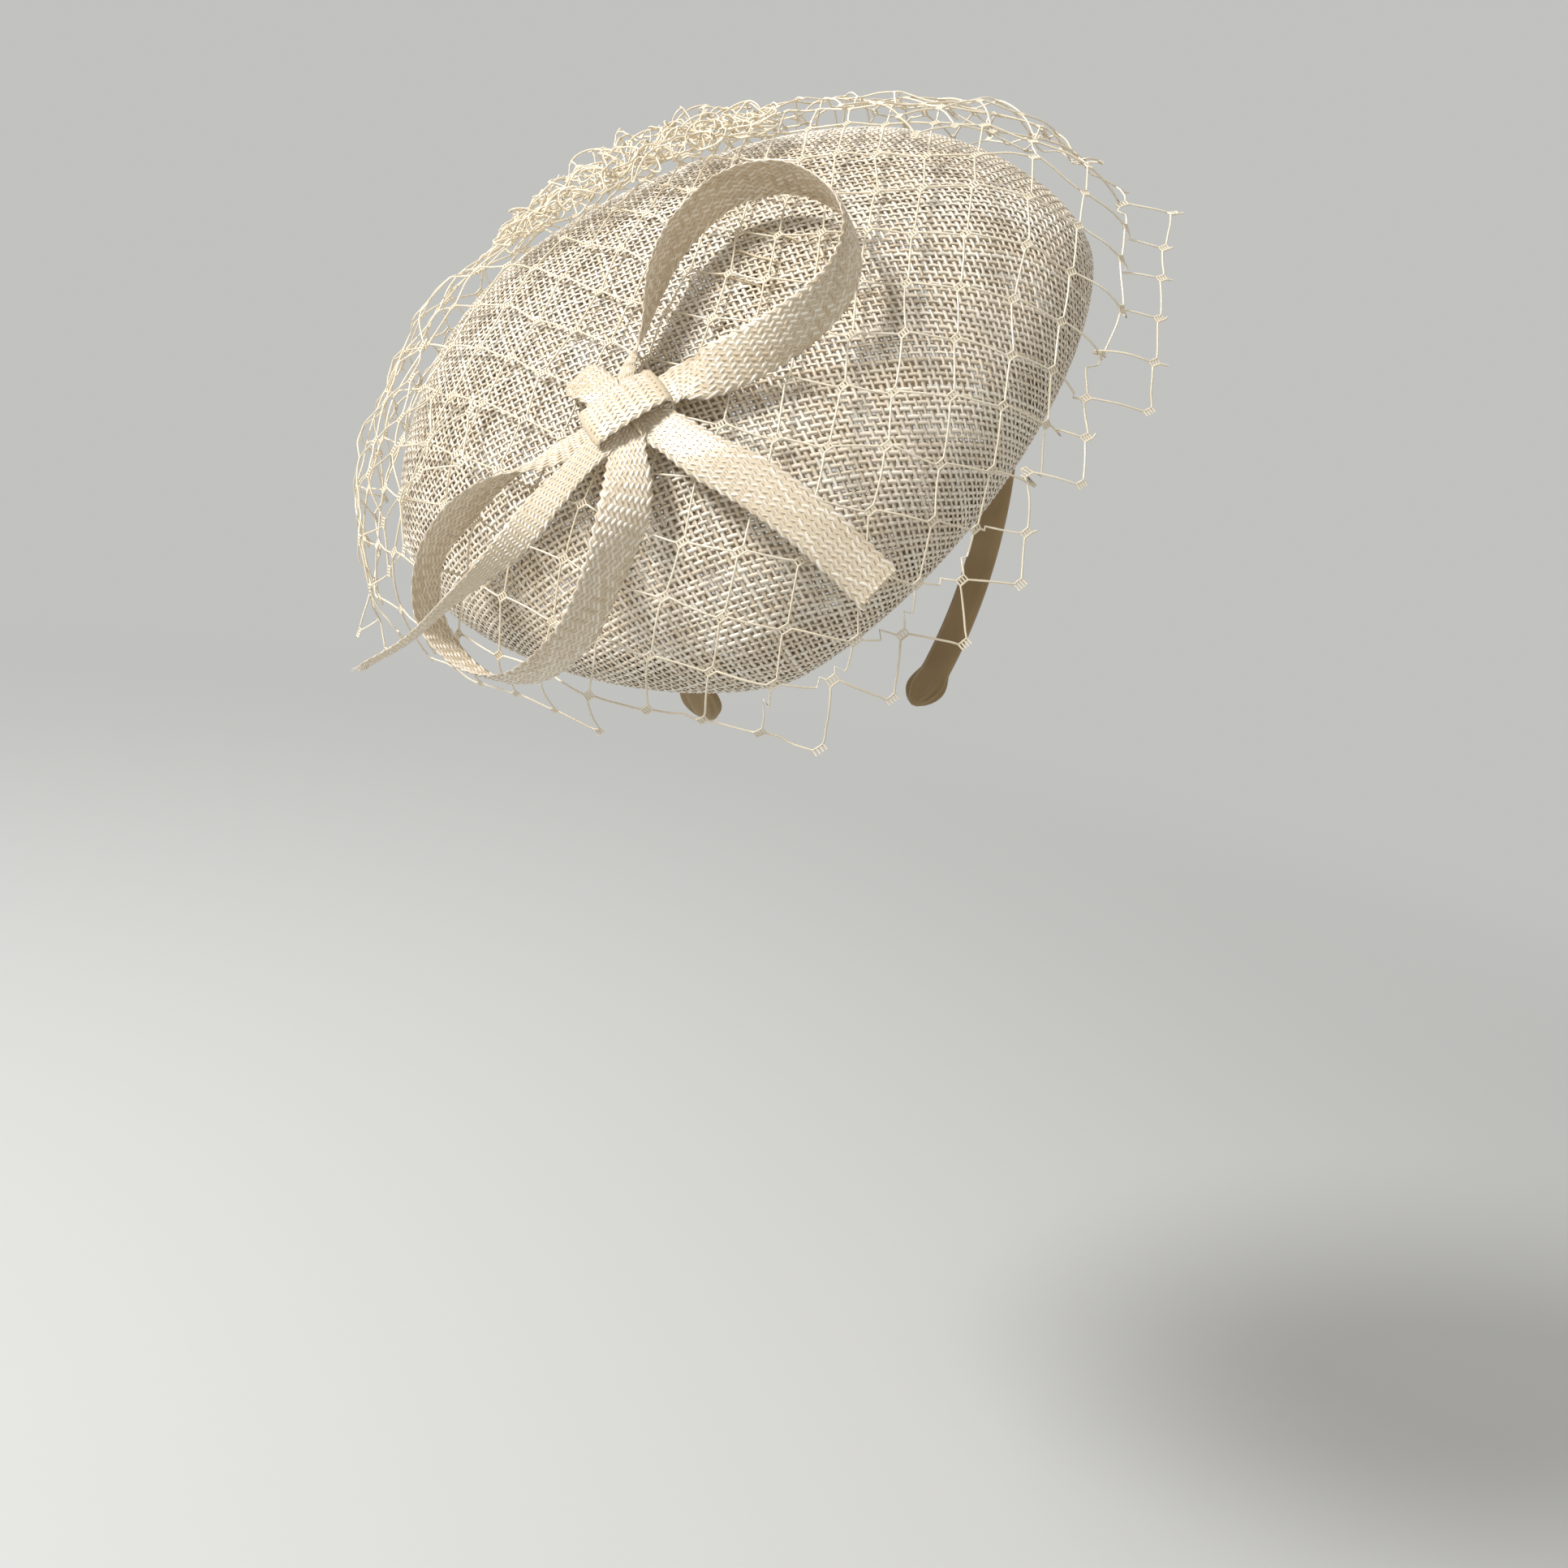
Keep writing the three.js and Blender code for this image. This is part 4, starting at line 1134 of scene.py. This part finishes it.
# %% Bow pieces
FULL = RIBBON_WIDTH
bow_pieces = {
    "upper_loop": ("bow_loop_upper", 11, [
        ((-20, -33, 43.2), (0.1, 0.2, 1), 8), ((-17, -22.6, 45), (-0.5, 0.2, 1), 8),
        ((-10, -16, 48.5), (-1, 0.6, 0.6), 10),
        ((-3, -6, 51), (-1, 0.7, 0.2), FULL), ((7, 5, 52), (-0.7, 1, 0.1), FULL),
        ((21, 11.5, 52), (-0.1, 1, 0.1), FULL), ((35, 7, 51.2), (0.6, 0.8, 0.1), FULL),
        ((42.5, -6, 50.2), (1, 0.2, 0.1), FULL), ((42, -20, 49), (1, -0.4, 0.1), FULL),
        ((34, -30.5, 48), (0.5, -1, 0.3), FULL), ((18, -35.5, 47.4), (0.1, -1, 0.7), FULL),
        ((2, -35.5, 46.6), (0.1, -0.6, 1), FULL), ((-6.3, -32.6, 45), (0.1, -0.1, 1), 10),
        ((-17, -34.5, 43.4), (0, 0, 1), 10)]),
    "lower_loop": ("bow_loop_lower", 12, [
        ((-20, -33.5, 43), (0, 0, 1), 9), ((-31.5, -34.6, 42.8), (-0.2, 0.1, 1), 9),
        ((-41, -34.8, 43), (-0.1, 0.5, 1), FULL),
        ((-53, -33.5, 42), (-0.2, 1, 0.6), FULL), ((-66, -33, 37.6), (-0.6, 1, 0.1), FULL),
        ((-78.5, -36.5, 30.5), (-1, 0.5, -0.1), FULL), ((-84.5, -46, 21.5), (-1, 0, -0.4), FULL),
        ((-79.5, -59.5, 16), (-0.8, -0.6, -0.5), FULL), ((-67, -70, 17), (-0.3, -1, -0.3), FULL),
        ((-51, -73, 25.5), (0.3, -1, 0.1), FULL), ((-37, -67, 34.5), (0.8, -0.7, 0.4), FULL),
        ((-26, -56, 41.5), (0.6, -0.3, 0.9), FULL), ((-22, -43.6, 43.6), (0.1, -0.1, 1), 9),
        ((-19, -33.5, 43.4), (0, -0.1, 1), 9)]),
    "right_tail": ("bow_tail_right", 13, [
        ((-20, -34, 43.6), (0, -0.2, 1), 10), ((-12.5, -42.5, 43.4), (0.1, -0.4, 1), 10),
        ((-6, -54, 42), (0.1, -0.6, 1), 11),
        ((2, -64, 38.5), (0.2, -0.8, 1), FULL), ((10.5, -77, 31.5), (0.2, -0.9, 1), FULL),
        ((18, -90, 20), (0.2, -1, 0.8), FULL)]),
    "left_tail": ("bow_tail_left", 14, [
        ((-20, -35, 43.9), (0, -0.2, 1), 9), ((-32.5, -43.6, 45.6), (-0.1, -0.2, 1), 7),
        ((-42, -51.5, 47.5), (-0.2, -0.5, 1), 8),
        ((-52, -59, 47.5), (-0.1, -0.9, 0.6), 7), ((-70, -61.5, 42), (0, -1, 0.3), 3.4),
        ((-86, -59, 33), (0.1, -1, 0.2), 2.2), ((-101, -55, 26.5), (0.1, -1, 0), 2.4)]),
    "knot_tuck": ("bow_knot_tuck", 15, [
        ((-21, -32, 43.8), (-0.2, 0.6, 1), 9), ((-24.5, -22.5, 44.6), (-0.3, 0.8, 1), 10),
        ((-27, -18, 43.8), (-0.3, 0.6, 1), 11),
        ((-28.4, -15, 43.3), (-0.2, 0.3, 1), 9)]),
}
ribbons = {}
for name, (node, seed, stations) in bow_pieces.items():
    ribbons[name] = ribbon_piece(name, node, stations, seed)

# %% The knot's wrap
KNOT_CENTRE = np.array((-19.3, -34, 40.6))
KNOT_LENGTH = 20.0
KNOT_WIDTH = 12.5
KNOT_LOW = 2.9
KNOT_RISE = 4.6
KNOT_WAY = math.radians(12)
KNOT_FORWARD = np.array((math.cos(KNOT_WAY), math.sin(KNOT_WAY), 0))
KNOT_ACROSS = np.array((-math.sin(KNOT_WAY), math.cos(KNOT_WAY), 0))


def knot_stations():
    """One turn round the bow's middle, with its ends meeting underneath."""
    stations = []
    for turn in np.linspace(-0.5 * np.pi, 1.5 * np.pi, 25)[:-1] + 0.05:
        out = np.array((math.cos(turn), math.sin(turn)))
        flat = np.sign(out) * np.abs(out) ** 0.5
        place = KNOT_CENTRE + KNOT_FORWARD * (KNOT_LENGTH / 2 * flat[0])
        place = place + (0, 0, KNOT_LOW + KNOT_RISE / 2 * (1 + flat[1]) - BOW_LIFT)
        lean = KNOT_FORWARD * out[0] + np.array((0, 0, abs(out[1]) * out[1]))
        stations.append((tuple(place), tuple(lean), KNOT_WIDTH))
    return stations


ribbons["knot_wrap"] = ribbon_piece("knot_wrap", "bow_knot_wrap", knot_stations(), 16, ripple=0.12)


# %% Frayed ends
def frayed(frames, count, reach, seed):
    """Loose strands past the ribbon's far end."""
    dice = np.random.default_rng(seed)
    forward = unit(frames["point"][-1] - frames["point"][-4])
    lines = []
    for _ in range(count):
        across = (dice.random() - 0.5) * frames["width"][-1]
        start = frames["point"][-1] + frames["side"][-1] * across - forward * 1.0
        bend = frames["side"][-1] * (dice.random() - 0.5) + frames["up"][-1] * (dice.random() - 0.5)
        t = np.linspace(0, 1, 5)[:, None]
        far = reach * (0.35 + 0.65 * dice.random())
        lines.append(line(start + forward * far * t + bend * far * 0.5 * t ** 2, frames["up"][-1],
                          0.22 * (1 - 0.6 * t[:, 0]), 0.0, dice.random()))
    return lines


fray = spin_threads("tail_frays", frayed(ribbons["left_tail"], 14, 5.0, 4)
                    + frayed(ribbons["right_tail"], 26, 1.7, 6), RIBBON, 0.6)
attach(fray, "hat")

# %% [markdown]
# ## The cloth-covered headband
# A sprung strip is wrapped in fine brown cloth: pulled lengthwise, so it shows long soft creases, and
# gathered round each blunt end. Each side is one tube of rings along the band's curve, with the creases
# moved into the mesh.

# %% Band cloth
ARCH_ANGLE = 71.0
ARM_RADIUS = 93.0
TIP_ANGLE = 130.0
BAND_WIDTH = 10.0
RIGHT_ARM_ANGLE = -63.0
LEFT_ARM_ANGLE = 29.0
BAND_MEETS = -17.0
CAP_ANGLE = 8.0
CAP_SWELL = 1.3
BAND_COLUMNS = 56
FLEX_SPREAD = 9.0


def band_middle(angle):
    """The band's middle line by angle from the top of the arch, and its outward way."""
    bend, turn = np.radians(np.clip(angle, -ARCH_ANGLE, ARCH_ANGLE)), np.radians(angle)
    zero = np.zeros_like(turn)
    up = np.stack([np.sin(turn), zero, np.cos(turn)], -1)
    point = up * ARM_RADIUS + np.stack([np.sin(bend), zero, np.cos(bend)], -1) * (ARCH_RADIUS - ARM_RADIUS)
    point[..., 2] += BAND_TOP
    return point, up


def band_cloth(name, from_angle, to_angle, seed):
    dice = np.random.default_rng(seed)
    share = np.linspace(0, 1, 190)
    angle = from_angle + (to_angle - from_angle) * share
    near_tip = np.clip((np.abs(angle) - (TIP_ANGLE - CAP_ANGLE)) / CAP_ANGLE, 0, 1)
    close = np.sqrt(np.maximum(1 - (0.985 * near_tip) ** 4, 0))
    swell = 1 + (CAP_SWELL - 1) * np.sin(np.pi * np.minimum(1, near_tip * 1.05))
    point, up = band_middle(angle)
    side = np.array((0, 1.0, 0))
    round_it = np.linspace(0, FULL_TURN, BAND_COLUMNS, endpoint=False)
    crease = np.zeros((len(angle), BAND_COLUMNS))
    for folds, size in ((3, 0.10), (5, 0.09), (8, 0.06), (11, 0.04)):
        drift = dice.random() * 6 + np.sin(angle / 17 + dice.random() * 6) * 0.8
        crease += size * np.sin(folds * round_it[None, :] + drift[:, None])
    gathers = np.sin(9 * round_it + 0.8)[None, :] * 0.45 * np.sin(np.pi * near_tip ** 1.5)[:, None]
    edge = np.abs(np.cos(round_it)) ** (2 / 3.2) * np.sign(np.cos(round_it))
    rise = np.abs(np.sin(round_it)) ** (2 / 2.4) * np.sign(np.sin(round_it))
    half_width = (BAND_WIDTH / 2 * swell * close)[:, None] * edge[None, :]
    half_height = ((BAND_THICKNESS / 2 + 0.9 * near_tip) * close)[:, None] * rise[None, :]
    scale = (crease + gathers) * np.minimum(1, close)[:, None]
    y = half_width + scale * np.cos(round_it)[None, :]
    z = half_height + scale * np.sin(round_it)[None, :]
    rings = point[:, None, :] + y[..., None] * side + z[..., None] * up[:, None, :]
    flat = np.stack(np.broadcast_arrays(np.radians(angle)[:, None] * ARCH_RADIUS * MM,
                                        (round_it * 4.0 * MM)[None, :]), -1)
    return solid_piece(name, rings * MM, BAND_CLOTH, flat)


def band_point(angle):
    return tuple(band_middle(np.array(float(angle)))[0] * MM)


left_cloth = band_cloth("band_cloth_left", BAND_MEETS + 0.13, TIP_ANGLE, 41)
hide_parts("band_cover_arm_left_side", "band_end_left_side")
band_point(LEFT_ARM_ANGLE - FLEX_SPREAD)
band_point(LEFT_ARM_ANGLE + FLEX_SPREAD)
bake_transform(left_cloth)
right_cloth = band_cloth("band_cloth_right", BAND_MEETS - 0.13, -TIP_ANGLE, 42)
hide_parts("band_cover_arm_right_side", "band_cover_crown_section", "band_end_right_side")
band_point(RIGHT_ARM_ANGLE + FLEX_SPREAD)
band_point(RIGHT_ARM_ANGLE - FLEX_SPREAD)
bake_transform(right_cloth)

# %% [markdown]
# ## Ribbed binding and sweatband
# The straw's cut edge is folded under and bound with ribbed ribbon, and a second ribbed band lies inside the
# mouth. The ribs run across the ribbon, about one to a millimetre, so they are real ridges in the mesh.

# %% Ribbed strips round the mouth
LAYERS = 1.9
EDGE_Z = LAYERS / 2 - TURN_DROP
RIBS = 520


def ribbed_strip(name, profile, depth):
    """A closed profile of [radius, height] carried round the mouth, with ribs across it."""
    profile = np.asarray(profile, float)
    middle = profile.mean(0)
    turn = np.linspace(0, FULL_TURN, 2 * RIBS, endpoint=False)
    rib = np.where(np.arange(2 * RIBS) % 2 == 0, depth, 0.0)
    edge = plan_edge(turn)
    way = np.diff(np.concatenate([profile[-1:], profile, profile[:1]]), axis=0)
    out = unit(np.stack([(way[:-1] + way[1:])[:, 1], -(way[:-1] + way[1:])[:, 0]], -1))
    if np.sum(out * (profile - middle)) < 0:
        out = -out
    rings = []
    for (radius, height), (out_r, out_z) in zip(profile, out):
        reach = radius + rib * out_r
        rings.append(np.concatenate([edge * reach[:, None], (height + rib * out_z)[:, None]], -1))
    lengths = np.concatenate([[0], np.cumsum(np.linalg.norm(np.diff(profile, axis=0), axis=1))])
    flat = np.stack(np.broadcast_arrays((turn * MOUTH_RADIUS * MM)[None, :], (lengths * MM)[:, None]), -1)
    return solid_piece(name, hat_to_part(np.array(rings)), PETERSHAM, flat, closed_row=True)


fold_radius = MOUTH_RADIUS - 1.4 - 0.6 - 0.25 - 0.25 - 0.3
lip = MOUTH_RADIUS + 1.8
half_u = LAYERS / 2 + 0.6
inner = [(lip, EDGE_Z - half_u), (fold_radius + 0.5, EDGE_Z - half_u), (fold_radius, EDGE_Z - half_u + 0.5),
         (fold_radius, EDGE_Z + half_u - 0.5), (fold_radius + 0.5, EDGE_Z + half_u), (lip, EDGE_Z + half_u)]
WALL = 0.34
outer = [(lip, EDGE_Z + half_u + WALL), (fold_radius + 0.3, EDGE_Z + half_u + WALL),
         (fold_radius - WALL, EDGE_Z + half_u - 0.4), (fold_radius - WALL, EDGE_Z - half_u + 0.4),
         (fold_radius + 0.3, EDGE_Z - half_u - WALL), (lip, EDGE_Z - half_u - WALL)]
binding = ribbed_strip("edge_binding", inner + outer, 0.1)
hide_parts("rim_binding")
inside = MOUTH_RADIUS + 3.2
sweat = ribbed_strip("inner_band", [(inside, -5.1), (inside + 0.45, -5.1), (inside + 0.45, -1.5),
                                    (inside + 0.45, 2.5), (inside + 0.45, 5.9), (inside, 5.9),
                                    (inside, 2.5), (inside, -1.5)], 0.1)
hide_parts("sweatband")
for piece in (binding, sweat):
    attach(piece, "hat")

# %% [markdown]
# ## Sewing
# The band is held by three thread loops through the crown's top, the bow by one through its knot, and the
# binding by two rows of small stitches. The loops are two-ply: two lines that wind round one path.

# %% Two-ply thread loops
THREAD_HALF = 0.35
PLY_PITCH = 1.5
LOOP_STEPS = 24
CROWN_TACKS = ((-46, 5.35, 7.25), (-52, 4.85, 7.05), (-58, 4.85, 7.4))


def closed_path(points):
    points = np.asarray(points, float)
    stretched = smooth_path(np.concatenate([points[-2:], points, points[:3]]), (len(points) + 4) * LOOP_STEPS)
    return stretched[2 * LOOP_STEPS:(len(points) + 2) * LOOP_STEPS + 1]


def two_ply(path):
    forward = unit(np.gradient(path, axis=0))
    aside = unit(np.cross(forward, (0.31, 0.55, 0.77)))
    up = np.cross(forward, aside)
    length = np.concatenate([[0], np.cumsum(np.linalg.norm(np.diff(path, axis=0), axis=1))])
    lines = []
    for ply in (0, np.pi):
        wind = (length / PLY_PITCH * FULL_TURN + ply)[:, None]
        lines.append(line(path + (aside * np.cos(wind) + up * np.sin(wind)) * THREAD_HALF * 0.45, up,
                          THREAD_HALF * 0.6, 0.0, 0.4 + 0.1 * ply))
    return lines


def upright_loop(centre, across, lift, half_width, low, high_front, high_back):
    corners = ((-half_width, high_front), (0, (high_front + high_back) / 2), (half_width, high_back),
               (half_width + 0.3, (low + high_back) / 2), (half_width, low), (0, low), (-half_width, low),
               (-half_width - 0.3, (low + high_front) / 2))
    return [centre + across * a + lift * b for a, b in corners]


knot_high = KNOT_LOW + 1.4
knot_loop = upright_loop(KNOT_CENTRE, KNOT_ACROSS, np.array((0, 0, 1.0)), KNOT_WIDTH / 2 + 1.2, -4.4,
                         knot_high, knot_high)
sewn = {"bow_thread": ("bow_stitch", two_ply(closed_path(knot_loop)))}
for number, (angle, high_front, high_back) in enumerate(CROWN_TACKS, 1):
    point, up = band_middle(np.array(float(angle)))
    centre = part_to_hat(point)
    loop = upright_loop(centre, np.array((0, 1.0, 0)) @ HAT[:3, :3], up @ HAT[:3, :3], BAND_WIDTH / 2 + 1,
                        -BAND_THICKNESS / 2 - 0.9, high_front, high_back)
    sewn[f"crown_thread_{number}"] = (f"crown_tack_stitch_{number}", two_ply(closed_path(loop)))
for name, (node, lines) in sewn.items():
    piece = spin_threads(name, lines, SEWING)
    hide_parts(node)
    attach(piece, "hat")

# %% Running stitches on the binding
STITCHES = 118
stitch_turns = np.linspace(0, FULL_TURN, STITCHES, endpoint=False)
stitch_lines = []
for turn in stitch_turns:
    t = np.linspace(0, 1, 6)
    turns = turn + t * 0.62 * FULL_TURN / STITCHES
    hump = np.sin(np.pi * t) * 0.35
    for height, sign in ((EDGE_Z + half_u + WALL, 1), (EDGE_Z - half_u - WALL, -1)):
        path = np.concatenate([plan_edge(turns) * (lip - 0.7), (height + sign * (hump - 0.05))[:, None]], -1)
        stitch_lines.append(line(path, (0, 0, 1), 0.2, 0.0, 0.5))
stitches = spin_threads("binding_stitches", stitch_lines, SEWING)
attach(stitches, "hat")
